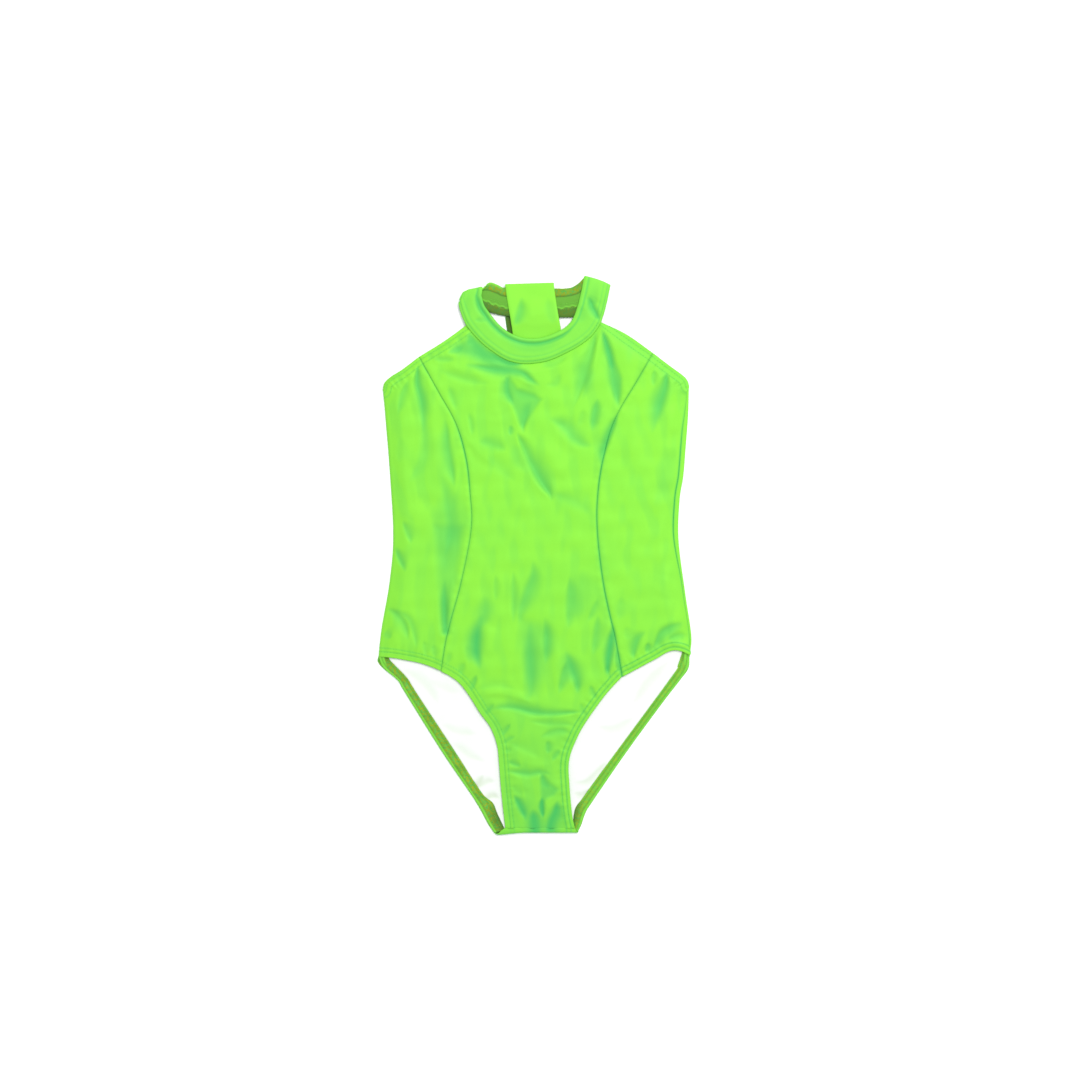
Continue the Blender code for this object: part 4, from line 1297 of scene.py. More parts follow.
@dataclass(frozen=True)
class StitchRow:
    """One row of stitches on a piece.

    Attributes:
        path: the row's points (x, y) in millimetres.
        seam: how the row is sewn.
        below: the row is on the underside of the piece.
    """

    path: Array
    seam: Seam = Seam.STRAIGHT
    below: bool = False


@dataclass
class Stitching:
    """Sews rows of stitches on pieces, with one Geometry Nodes tree for every row."""

    thread: bpy.types.Material
    spacing: float = 2.9
    length: float = 2.1
    width: float = 0.34
    proud: float = 0.08
    zigzag_spacing: float = 0.62
    tree: bpy.types.NodeTree | None = None

    def make_tree(self) -> bpy.types.NodeTree:
        """The tree: a rounded stitch at even steps along each line of the mesh.

        Returns:
            The node tree.
        """
        tree = bpy.data.node_groups.new("Stitch rows", "GeometryNodeTree")
        sizes = dict.fromkeys(("Spacing", "Stitch length", "Thread width", "Slant"), "Float")
        for name, kind in {"Geometry": "Geometry", **sizes, "Thread": "Material"}.items():
            tree.interface.new_socket(name, in_out="INPUT", socket_type=f"NodeSocket{kind}")
        tree.interface.new_socket("Geometry", in_out="OUTPUT",
                                  socket_type="NodeSocketGeometry")
        nodes = Nodes(tree)
        add = nodes.add
        given = add("NodeGroupInput").outputs
        rows = add("GeometryNodeMeshToCurve", {"Mesh": given["Geometry"]}).outputs
        points = add("GeometryNodeCurveToPoints", {
            "Curve": rows["Curve"], "Length": given["Spacing"],
        }, mode="LENGTH").outputs

        bead = add("GeometryNodeMeshUVSphere", {"Segments": 6, "Rings": 4, "Radius": 0.5})
        width = given["Thread width"]
        size = add("ShaderNodeCombineXYZ", {"X": given["Stitch length"], "Y": width, "Z": width})
        shaped = add("GeometryNodeTransform", {
            "Geometry": bead.outputs["Mesh"], "Scale": size.outputs["Vector"],
        })

        parity = nodes.math("MODULO", add("GeometryNodeInputIndex").outputs["Index"], 2)
        slant = nodes.math("MULTIPLY", nodes.math("MULTIPLY_ADD", parity, 2, -1), given["Slant"])
        turn = add("ShaderNodeCombineXYZ", {"Z": slant}).outputs["Vector"]
        turned = add("FunctionNodeEulerToRotation", {"Euler": turn}).outputs["Rotation"]
        along = add("FunctionNodeAlignRotationToVector", {"Vector": points["Tangent"]}, axis="X")
        slanted = add("FunctionNodeRotateRotation", {
            "Rotation": along.outputs["Rotation"], "Rotate By": turned,
        }, rotation_space="LOCAL")

        sewn = add("GeometryNodeInstanceOnPoints", {
            "Points": points["Points"], "Instance": shaped.outputs["Geometry"],
            "Rotation": slanted.outputs["Rotation"],
        })
        real = add("GeometryNodeRealizeInstances", {"Geometry": sewn.outputs["Instances"]})
        dyed = add("GeometryNodeSetMaterial", {
            "Geometry": real.outputs["Geometry"], "Material": given["Thread"],
        })
        add("NodeGroupOutput", {"Geometry": dyed.outputs["Geometry"]})
        return tree

    def lay(self, row: StitchRow, cloth: BVHTree) -> Array:
        """The row's points on the cloth, in metres.

        Args:
            row: the row.
            cloth: the mesh that it is sewn on.

        Returns:
            The points that meet the cloth.
        """
        way = 1 if row.below else -1
        laid = []
        for x, y in row.path * MM:
            hit, *_ = cloth.ray_cast(Vector((x, y, -way * 0.05)), Vector((0, 0, way)))
            if hit is not None:
                laid.append((x, y, hit.z - way * self.proud * MM))
        return np.array(laid)

    def sew(self, piece: bpy.types.Object, rows: Sequence[StitchRow],
            ) -> list[bpy.types.Object]:
        """Sews the rows on a piece.

        Args:
            piece: the piece.
            rows: the rows, straight ones and zigzags.

        Returns:
            One object for each way of sewing.
        """
        self.tree = self.tree or self.make_tree()
        cloth = BVHTree.FromObject(piece, bpy.context.evaluated_depsgraph_get())
        sewn = []
        for seam in Seam:
            lines = [self.lay(row, cloth) for row in rows if row.seam is seam]
            lines = [line for line in lines if len(line) > 1]
            if lines:
                sewn.append(self.row_object(f"{piece.name}_{seam.name.lower()}", lines, seam))
        for thread in sewn:
            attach(thread, BODY)
        return sewn

    def row_object(self, name: str, lines: Sequence[Array], seam: Seam) -> bpy.types.Object:
        """Runs the tree over some lines and keeps the result as a plain mesh.

        Args:
            name: the object's name.
            lines: the rows' points, in metres.
            seam: how the rows are sewn.

        Returns:
            The object.
        """
        mesh = bpy.data.meshes.new(f"{name}_path")
        edges, start = [], 0
        for line in lines:
            edges += [(start + i, start + i + 1) for i in range(len(line) - 1)]
            start += len(line)
        mesh.from_pydata(np.vstack(lines).tolist(), edges, [])
        path = shown(f"{name}_path", mesh)
        sewing = path.modifiers.new("Stitches", "NODES")
        sewing.node_group = self.tree
        zigzag = seam is Seam.ZIGZAG
        values = {
            "Spacing": self.spacing * MM * (self.zigzag_spacing if zigzag else 1),
            "Thread": self.thread,
            "Stitch length": self.length * MM, "Thread width": self.width * MM,
            "Slant": math.radians(seam.value),
        }
        for socket in self.tree.interface.items_tree:
            if socket.in_out == "INPUT" and socket.name in values:
                sewing[socket.identifier] = values[socket.name]
        graph = bpy.context.evaluated_depsgraph_get()
        plain = bpy.data.meshes.new_from_object(path.evaluated_get(graph))
        plain.shade_smooth()
        bpy.data.objects.remove(path)
        log.info("%s: %d faces", name, len(plain.polygons))
        return shown(name, plain)


# --- The front


@dataclass
class FrontPanels:
    """The front centre panel and the two side fronts."""

    outline: Outline
    layers: Layers
    leg_hems: tuple[TurnedHem, TurnedHem] = (
        TurnedHem(rows=(5.2, 8.8)), TurnedHem(rows=(3.4, 7.8), line=0.62),
    )
    arm_hem: TurnedHem = TurnedHem(rows=(3.2, 8.0), line=0.3)
    seam: SewnSeam = field(default_factory=SewnSeam)
    side_seam: Line = (
        (-96, 0.0), (-86, 0.35), (-60, 0.25), (-20, 0.5), (0, 0.75), (40, 0.95), (104, 0.9),
        (132, 0.6), (152, 0.3), (168, 0.0),
    )
    # Painted shade: the front darker towards the crotch.
    low_shade: float = 0.14
    low_shade_y: Point = (-130.0, -170.0)
    # Painted shade along the right armhole.
    arm_shade: float = 0.2
    arm_shade_away: float = 6.0
    arm_shade_width: float = 8.0
    swell: float = 0.2
    swell_seed: int = 7
    streak: float = 0.12
    # Painted shade in the streaks' hollows.
    streak_shade: float = 0.13
    streak_seed: int = 61
    hem_seed: int = 20
    seam_seed: int = 40
    left_edge: float = 2.7
    right_edge: float = 3.2
    right_tuck: float = 5.0
    right_hip_y: Point = (-78.0, -92.0)
    right_arm_y: Point = (161.0, 167.0)
    right_arm_rise: float = 0.45
    lining_end_y: Point = (-86.0, -72.0)
    back_end_y: Point = (104.0, 118.0)
    soft_floor: float = 0.3
    side_reach: float = 16.0
    armhole_reach: float = 14.0
    leg_reach: float = 18.0
    collar_reach: float = 10.0
    crotch_reach: float = 30.0
    side_roll: float = 3.0
    collar_tuck: float = 2.2
    half_seam: float = 0.04
    crotch_lap: float = 1.4
    crotch_dip: float = 0.45
    covered_y: Point = (163.0, 168.5)
    side_gap: float = 0.06
    seam_clear: float = 1.2
    collar_clear: float = 1.5
    centre_columns: int = 127
    centre_leg_rows: int = 112
    panel_rows: int = 190
    side_columns: int = 66

    def __post_init__(self) -> None:
        """Works out the edges that the heights are measured from."""
        cut = self.outline
        self.left_line = smooth_line(cut.side_left, 50)
        self.right_line = smooth_line(cut.side_right, 50)
        self.legs = [cut.leg_edge(side) for side in Side]
        self.armholes = [cut.armhole_edge(side) for side in Side]
        self.seams = [cut.princess(side) for side in Side]
        self.collar_line = cut.collar(0.0)
        self.hems = (*self.leg_hems, self.arm_hem, self.arm_hem)

    def top(self, x: Array, y: Array) -> tuple[Array, Array]:
        """The outer face's height, and how far its colour is darkened by painted shade and seam
        lines.

        Args:
            x: the points' x.
            y: the points' y.

        Returns:
            The heights, and the darkening from 0 to 1.
        """
        lay = self.layers
        legs = [nearest(line, x, y) for line in self.legs]
        arms = [nearest(line, x, y) for line in self.armholes]
        leg = np.minimum(legs[0][0], legs[1][0])
        arm = np.minimum(arms[0][0], arms[1][0])
        right = np.maximum(edge_x(self.right_line, y) - x - self.right_tuck, 0)
        to_leg = ease_between(y, self.right_hip_y)
        right_low = self.right_edge + (lay.leg_edge - self.right_edge) * to_leg
        right_low += self.right_arm_rise * ease_between(y, self.right_arm_y)
        edges = [
            (x - edge_x(self.left_line, y), self.left_edge, self.side_reach),
            (right, right_low, self.side_reach),
            (arm, lay.armhole_edge, self.armhole_reach),
            (leg, lay.leg_edge, self.leg_reach),
            (distance_to(self.collar_line, x, y), lay.collar_edge, self.collar_reach),
            (y - self.outline.crotch_seam_y, lay.crotch_edge, self.crotch_reach),
        ]
        rises = [ease(away / reach) for away, _, reach in edges]
        settled = np.min([low + (lay.crown - low) * rise
                          for (_, low, _), rise in zip(edges, rises)], axis=0)
        free = ease(np.min(rises[:-1], axis=0) * 2.6 + 0.3) * (0.55 + 0.45 * rises[-1])
        creased, deep = relief((*UPPER_CREASES, *LOWER_CREASES), x, y)
        streaked = streaks(x, y, self.streak_seed)
        # Painted shade in the hollows of the streaks.
        deep = darker(deep, self.streak_shade * np.maximum(streaked, 0))
        deep = deep * ease(np.min(rises[:-2], axis=0) * 3 + 0.35)
        swell = unevenness(x, y, self.swell, self.swell_seed)
        height = settled + (creased + swell - self.streak * streaked) * free
        # Painted shade along the right armhole.
        by_arm = bump(arms[1][0] - self.arm_shade_away, self.arm_shade_width)
        deep = darker(deep, self.arm_shade * by_arm)
        lines = [*self.legs, *self.armholes]
        for seed, (away, along, _) in enumerate([*legs, *arms]):
            hem = self.hems[seed]
            height += hem.height(away, along, self.length_of(lines[seed]),
                                 self.hem_seed + seed)
            deep = darker(deep, hem.shade(away))
        for seed, line in enumerate(self.seams):
            away, along, _ = nearest(line, x, y)
            height += self.seam.height(away, along, self.length_of(line), self.seam_seed + seed)
            deep = darker(deep, self.seam.shade(away, y, seed))
        # Painted shade: the front darker towards the crotch.
        deep = darker(deep, self.low_shade * ease_between(y, self.low_shade_y))
        past_seam = ease((self.outline.crotch_seam_y + 1.0 - y) / (1.0 + self.crotch_lap))
        height -= self.crotch_dip * past_seam
        open_below = ease_between(y, self.lining_end_y) * (1 - ease_between(y, self.back_end_y))
        least = lay.least - (lay.least - lay.least_open) * open_below
        bound = np.minimum(settled - self.soft_floor, least)
        height = bound + self.soft_floor * np.logaddexp(0, (height - bound) / self.soft_floor)
        return height, np.clip(deep, 0, 1)

    @staticmethod
    def length_of(line: Array) -> float:
        """How long a line is."""
        return float(np.linalg.norm(np.diff(line, axis=0), axis=1).sum())

    def wall(self, x: Array, y: Array) -> Array:
        """How thick the cloth is: doubled at the turned hems."""
        away = np.min([distance_to(line, x, y) for line in [*self.legs, *self.armholes]], axis=0)
        return self.layers.wall + self.layers.hem_extra * self.arm_hem.doubled(away)

    def piece(self, node: str, net: Array, roll: Array | None = None) -> ClothPiece:
        """A front piece over a net of (x, y), with its heights from the whole front.

        Args:
            node: the CAD node that it stands for.
            net: the points (rows, columns, 2).
            roll: where the edge is rolled down, the share of the height kept at each column.

        Returns:
            The piece, not yet built.
        """
        x, y = net[..., 0], net[..., 1]
        height, deep = self.top(x, y)
        if roll is not None:
            low = self.layers.side_low
            height = low + (height - low) * roll
        outer = np.stack([x, y, height], axis=-1)
        return ClothPiece(node, outer, self.wall(x, y), Slot.OUTSIDE, painted_shade_and_seams=deep, rim=0.15)

    def centre(self) -> ClothPiece:
        """The panel between the long seams, from under the neckband to the crotch seam."""
        cut, columns = self.outline, self.centre_columns
        rise = graded(self.panel_rows, 0.0, 1.6, 0.05)
        low = np.linspace(0, 1, self.centre_leg_rows)
        left = joined(smooth_line(cut.leg_left_crotch, low),
                      beside(cut.princess(Side.LEFT, rise), self.half_seam))
        right = joined(smooth_line(cut.leg_right_crotch, low),
                       beside(cut.princess(Side.RIGHT, rise), -self.half_seam))
        u = graded(columns, 0.7, 0.7, 0.05)
        arm = columns // 5
        collar = cut.collar(self.collar_tuck, (u[arm:-arm] - u[arm]) / (u[-arm - 1] - u[arm]))
        start = smooth_line([left[-1], *cut.armhole_left_top[1:-1], collar[0]],
                            u[:arm + 1] / u[arm])
        end = smooth_line([collar[-1], *cut.armhole_right_top[-2:0:-1], right[-1]],
                          (u[-arm - 1:] - u[-arm - 1]) / (1 - u[-arm - 1]))
        top = joined(start, collar, end)
        bottom = left[0] + (right[0] - left[0]) * u[:, None]
        bottom[:, 1] = cut.crotch_seam_y - self.crotch_lap
        left[0], right[0] = bottom[0], bottom[-1]
        v = travelled((left + right) / 2)
        net = patch(bottom, top, left, right, u, v / v[-1])
        return self.piece("front_centre", evened(net))

    def side_left(self) -> ClothPiece:
        """The left side front, rolled down to the back along its outer edge."""
        cut = self.outline
        v = graded(self.panel_rows, 1.4, 1.4, 0.05)
        u = graded(self.side_columns, 1.2, 0.6, 0.06)
        inner = beside(cut.princess(Side.LEFT, v), -self.half_seam)
        side = smooth_line(cut.side_left, v)
        flat = side + np.array([self.side_roll, 0])
        bottom = smooth_line([inner[0], *cut.leg_left[1:-1], side[0]], 200)
        top = smooth_line([inner[-1], *cut.armhole_left[-2:0:-1], side[-1]], 200)
        bottom, top = self.cut_short(bottom), self.cut_short(top)
        flat[0], flat[-1] = bottom[-1], top[-1]
        net = patch(smooth_line(bottom, u), smooth_line(top, u), inner, flat, u, v)
        turns = np.radians([75, 60, 45, 30, 17, 6, 0])
        roll = np.stack([side + (flat - side) * (1 - math.cos(turn)) for turn in turns], axis=1)
        net = np.concatenate([net, roll], axis=1)
        kept = np.concatenate([np.ones(len(u)), np.sin(turns)])[None]
        return self.piece("front_side_left", net[:, ::-1], kept[:, ::-1])

    def cut_short(self, line: Array) -> Array:
        """The line without its last stretch, which belongs to the rolled edge."""
        along = travelled(line)
        wanted = np.linspace(0, along[-1] - self.side_roll, len(line))
        return np.stack([np.interp(wanted, along, column) for column in line.T], axis=1)

    def side_right(self, inset: Array) -> ClothPiece:
        """The right side front, ending at the side seam.

        Args:
            inset: how far in the back's edge lies at each row, from the bottom up.

        Returns:
            The piece, not yet built.
        """
        cut = self.outline
        v = self.side_rows()
        u = graded(self.side_columns, 1.2, 1.2, 0.06)
        inner = beside(cut.princess(Side.RIGHT, v), self.half_seam)
        side = smooth_line(cut.side_right, v)
        covered = 1 - ease_between(side[:, 1], self.covered_y)
        side[:, 0] -= (inset + self.side_gap) * covered
        bottom = smooth_line([inner[0], *cut.leg_right[1:-1], side[0]], u)
        top = smooth_line([inner[-1], *cut.armhole_right[-2:0:-1], side[-1]], u)
        net = patch(bottom, top, inner, side, u, v)
        made = self.piece("front_side_right", net)
        heights, strengths = np.array(self.side_seam).T
        line = np.interp(net[..., 1], heights, strengths) * bump(side[:, :1] - net[..., 0], 1.0)
        made.outer[..., 2] -= 0.4 * line
        made.painted_shade_and_seams = darker(made.painted_shade_and_seams, line)
        return made

    def side_rows(self) -> Array:
        """The shares of the right side seam's length at which its rows lie."""
        return graded(self.panel_rows, 1.4, 1.4, 0.05)

    def rows_of_stitches(self) -> dict[str, list[StitchRow]]:
        """The stitch rows of the leg and armhole hems, for each front node."""
        lines = []
        for side, hand in ((Side.LEFT, 1), (Side.RIGHT, -1)):
            leg_hem = self.leg_hems[0 if side is Side.LEFT else 1]
            lines += [beside(self.outline.leg_edge(side, 120), hand * row)
                      for row in leg_hem.rows]
            lines += [beside(self.outline.armhole_edge(side, 80), hand * row)
                      for row in self.arm_hem.rows]
        found: dict[str, list[StitchRow]] = {
            "front_centre": [], "front_side_left": [], "front_side_right": [],
        }
        for line in lines:
            for node, part in self.split(line).items():
                found[node] += [StitchRow(run) for run in part]
        return found

    def split(self, line: Array) -> dict[str, list[Array]]:
        """The runs of a line that lie on each front node, kept clear of the seams.

        Args:
            line: the line's points (x, y).

        Returns:
            Each node's runs.
        """
        fine = smooth_line(line, 4 * len(line))
        _, _, left = nearest(self.seams[0], fine[:, 0], fine[:, 1])
        _, _, right = nearest(self.seams[1], fine[:, 0], fine[:, 1])
        clear = np.min([distance_to(s, fine[:, 0], fine[:, 1]) for s in self.seams], axis=0)
        clear = clear > self.seam_clear
        clear &= distance_to(self.collar_line, fine[:, 0], fine[:, 1]) > self.collar_clear
        on = {
            "front_side_left": (left > 0) & (fine[:, 0] < -60) & clear,
            "front_side_right": (right < 0) & (fine[:, 0] > 60) & clear,
        }
        on["front_centre"] = clear & ~on["front_side_left"] & ~on["front_side_right"]
        runs: dict[str, list[Array]] = {}
        for node, mask in on.items():
            breaks = np.flatnonzero(np.diff(mask.astype(int))) + 1
            runs[node] = [
                part for part, kept in zip(np.split(fine, breaks), np.split(mask, breaks))
                if kept[0] and len(part) > 3
            ]
        return runs


# --- The back, its lining and its leg hems


@dataclass
class BackPanel:
    """The back: flat underneath, folded over the front at the crotch and the right side."""

    outline: Outline
    layers: Layers
    side_seam: Line
    fold_radius: float = 1.6
    wrap_least: float = 2.2
    wrap_most: float = 5.0
    wrap_grows: Point = (-30.0, 30.0)
    wrap_shrinks: Point = (121.0, 166.0)
    fold_starts: Point = (-101.0, -91.0)
    flat_strip: float = 1.5
    crotch_radius: float = 2.1
    crotch_fold_y: float = -276.5
    seam_lap: float = 1.4
    seam_dip: float = 0.45
    crotch_rows: Line = ((-25.4, 0.3), (-21.8, 0.3), (30.6, 0.5), (35.0, 0.5))
    corner_drop: Line = (
        (-43.7, -1.9), (-41.0, 1.0), (-39.0, 1.9), (-37.0, 2.2), (-31.0, 1.7), (-26.6, 1.2),
        (-18.0, 0.3), (-12.0, 0.0),
    )
    columns: int = 84
    leg_rows: int = 96
    wrap_columns: int = 20
    fold_steps: int = 12
    stitch_insets: Point = (4.0, 8.5)
    stitch_dent: float = 0.2
    stitch_width: float = 0.9
    edge_round: float = 0.35
    crotch_relief: float = 0.55
    crotch_deepest: float = -0.6
    crotch_puff: float = 0.1
    # Painted shade: the whole fold at the crotch darker, and a dark line along its edge.
    crotch_shade: float = 0.16
    fold_shade: float = 0.5

    def wrap(self, y: Array) -> Array:
        """How far the back comes over the front at the right side, at height y."""
        share = ease_between(y, self.wrap_grows) * (1 - ease_between(y, self.wrap_shrinks))
        return self.wrap_least + (self.wrap_most - self.wrap_least) * share

    def fold_end(self, y: Array) -> tuple[Array, Array]:
        """How far past the fold the right edge lies on the cloth, and how folded it is."""
        folded = ease_between(y, self.fold_starts)
        quarter = math.pi * self.fold_radius / 2
        return folded * (2 * quarter + self.wrap(y) - self.fold_radius) - quarter, folded

    def edge_inset(self, y: Array) -> Array:
        """How far in from the right side the back's edge lies at height y."""
        start, folded = self.fold_end(y)
        return fold_over(-start, self.fold_radius)[0] - (1 - folded) * self.fold_radius

    def rim(self) -> Array:
        """How far each column of the right side's fold lies from the side seam, on the cloth."""
        across = math.pi * self.fold_radius + self.wrap_most + self.flat_strip
        return np.linspace(across, 0, self.wrap_columns)

    def body(self, rows: Array) -> Array:
        """The net of the back without its crotch fold.

        Args:
            rows: the shares of the side's length at which the rows lie.

        Returns:
            The net (rows, columns, 3).
        """
        cut = self.outline
        low = graded(self.leg_rows, 1.0, 0.0, 0.05)
        left = joined(smooth_line(cut.back_leg_left, low),
                      smooth_line([*cut.side_left[:-1], cut.back_top[0]], rows))
        right = joined(smooth_line(cut.back_leg_right, low), smooth_line(cut.side_right, rows))
        radius = self.fold_radius
        start, folded = self.fold_end(right[:, 1])
        rim = self.rim()
        inset, height = fold_over(rim[None] - start[:, None], radius)
        inset = inset - (1 - folded)[:, None] * radius
        inner = right - np.stack([inset[:, 0], np.zeros(len(right))], axis=1)
        u = graded(self.columns, 1.2, 0.3, 0.04)
        bottom = left[0] + (inner[0] - left[0]) * u[:, None]
        top = smooth_line([left[-1], *cut.back_top[1:-1], inner[-1]], u)
        v = travelled((left + inner) / 2)
        net = patch(bottom, top, left, inner, u, v / v[-1])
        flat = np.concatenate([net, self.hollows(net)[..., None]], axis=2)
        side_x = right[:, :1] - inset[:, 1:]
        side_y = np.repeat(right[:, 1:], self.wrap_columns - 1, axis=1)
        turned = np.stack([side_x, side_y, height[:, 1:]], axis=-1)
        return np.concatenate([flat, turned], axis=1)

    def hollows(self, net: Array) -> Array:
        """How far the underside is lifted by its creases and its hem's stitches."""
        x, y = net[..., 0], net[..., 1]
        cut = self.outline
        lines = [smooth_line(line, 50)
                 for line in (cut.back_leg_left, cut.back_leg_right, cut.back_top)]
        away = [distance_to(line, x, y) for line in lines]
        edge = np.minimum.reduce(away)
        lifted = np.maximum(relief(BACK_CREASES, x, y)[0], 0) * ease(edge / 14)
        right = smooth_line(cut.side_right, 50)
        lifted *= ease((edge_x(right, y) - x - 10) / 12) * ease((y + 274) / 10)
        for inset in self.stitch_insets:
            stitched = bump(edge - inset, self.stitch_width)
            lifted += self.stitch_dent * stitched * ease((y + 272) / 6)
        rounded = self.edge_round * bump(edge, self.stitch_width) * ease((y + 274.2) / 3)
        return lifted + rounded

    def crotch(self, first: Array) -> tuple[Array, Array]:
        """The rows round the fold at the crotch, and the painted shade and stitch lines on them.

        Args:
            first: the first row of the back below it.

        Returns:
            The rows and their shades, from the seam on top down.
        """
        radius = self.crotch_radius
        quarter = math.pi * radius / 2
        seam_y = self.outline.crotch_seam_y
        reach = quarter + (seam_y - self.crotch_fold_y) - radius + self.seam_lap
        low, high = self.outline.leg_left_crotch[0][0], self.outline.leg_right_crotch[0][0]
        place = (first[:, 0] - first[0, 0]) / (first[-1, 0] - first[0, 0])
        seam_x = low + (high - low) * place
        rows, shades = [], []
        top = np.linspace(-reach, -quarter, 7)[:-1]
        for distance in (*top, *np.linspace(-quarter, quarter, self.fold_steps)[:-1]):
            share = ease((distance + quarter) / (2 * quarter))
            depth, rise = fold_over(np.array(distance), radius)
            spread = ease((distance + reach) / (quarter + reach))
            x = spread * first[:, 0] + (1 - spread) * seam_x
            drop = max(1 - float(depth) / radius, 0) * np.interp(x, *np.array(self.corner_drop).T)
            y = self.crotch_fold_y + depth - drop
            above = ease(1 - (distance + reach) / (reach + quarter))
            dent, shade = relief(LOWER_CREASES[-3:], x, np.minimum(y, seam_y - 0.2))
            dent = np.maximum(self.crotch_relief * dent * above, self.crotch_deepest)
            dent -= self.seam_dip * ease((y - seam_y + 1.0) / (1.0 + self.seam_lap))
            puff = self.crotch_puff * np.sin(x * 0.62 + 1) * above
            rows.append(np.stack([x, y, np.maximum(rise + dent + puff, 0)], axis=1))
            # Painted shade: a dark line along the fold's outer edge, and the whole fold a shade
            # darker, fading under it.
            edge = self.fold_shade * bump(np.full(len(x), distance), 1.0)
            lines = sum(strength * bump(x - row, 0.9) for row, strength in self.crotch_rows)
            shade = darker(darker(shade, lines), edge)
            shades.append(darker(shade, self.crotch_shade) * ease(1.4 - share))
        return np.array(rows), np.array(shades)

    def piece(self, rows: Array) -> ClothPiece:
        """The whole back, its rows at the given shares of the side."""
        body = self.body(rows)
        fold, shades = self.crotch(body[0])
        deep = np.zeros(body.shape[:2])
        heights, strengths = np.array(self.side_seam).T
        to_seam = self.rim()[1:][None]
        deep[:, self.columns:] = (
            np.interp(body[:, self.columns:, 1], heights, strengths) * bump(to_seam, 0.9)
        )
        return ClothPiece("back_panel", np.concatenate([fold, body]), self.layers.wall,
                          Slot.OUTSIDE, Facing.DOWN, painted_shade_and_seams=np.concatenate([shades, deep]),
                          rim=0.15)

    def rows_of_stitches(self) -> list[StitchRow]:
        """The stitch rows seen from below, along the leg edges and the top edge."""
        cut, rows = self.outline, []
        for inset in self.stitch_insets:
            left = beside(smooth_line(cut.back_leg_left, 120), inset)[3:-8]
            right = beside(smooth_line(cut.back_leg_right, 120), -inset)[3:-12]
            rows += [StitchRow(line, below=True) for line in (left, right)]
        top = beside(smooth_line(cut.back_top, 120), self.stitch_insets[1])[3:-6]
        return [*rows, StitchRow(top, below=True)]


@dataclass
class BackLining:
    """The white lining inside the back, between the two leg hems."""

    outline: Outline
    layers: Layers
    top_y: float = -88.0
    top_left_x: float = -134.0
    top_right_x: float = 132.0
    end_y: float = -273.0
    gap: float = 0.3
    swell: float = 0.1
    swell_seed: int = 11
    between: Point = (1.5, 2.65)
    rows: int = 130
    columns: int = 110

    def piece(self) -> ClothPiece:
        """The lining, slightly wrinkled."""
        cut = self.outline
        left = self.side(cut.hem_left_inner, -self.gap, self.top_left_x)
        right = self.side(cut.hem_right_inner, self.gap, self.top_right_x)
        share = np.linspace(0, 1, self.columns)[None, :, None]
        net = (1 - share) * left[:, None] + share * right[:, None]
        net[0, :, 1] = self.end_y
        x, y = net[..., 0], net[..., 1]
        # The creases' painted shade turns the lining greenish grey.
        creased, deep = relief(LINING_CREASES, x, y)
        swell = unevenness(x, y, self.swell, self.swell_seed)
        height = np.clip(self.layers.lining_top + creased + swell, *self.between)
        outer = np.stack([x, y, height], axis=-1)
        return ClothPiece("back_lining", outer, self.layers.lining_wall, Slot.LINING, painted_shade_and_seams=deep)

    def side(self, hem: Line, gap: float, top_x: float) -> Array:
        """One edge of the lining, beside a hem's inner edge, from the crotch up."""
        line = beside(smooth_line(hem, 400), gap)[::-1]
        line = line[line[:, 1] > self.end_y + 0.5]
        return np.vstack([smooth_line(line[::4], self.rows), (top_x, self.top_y)])


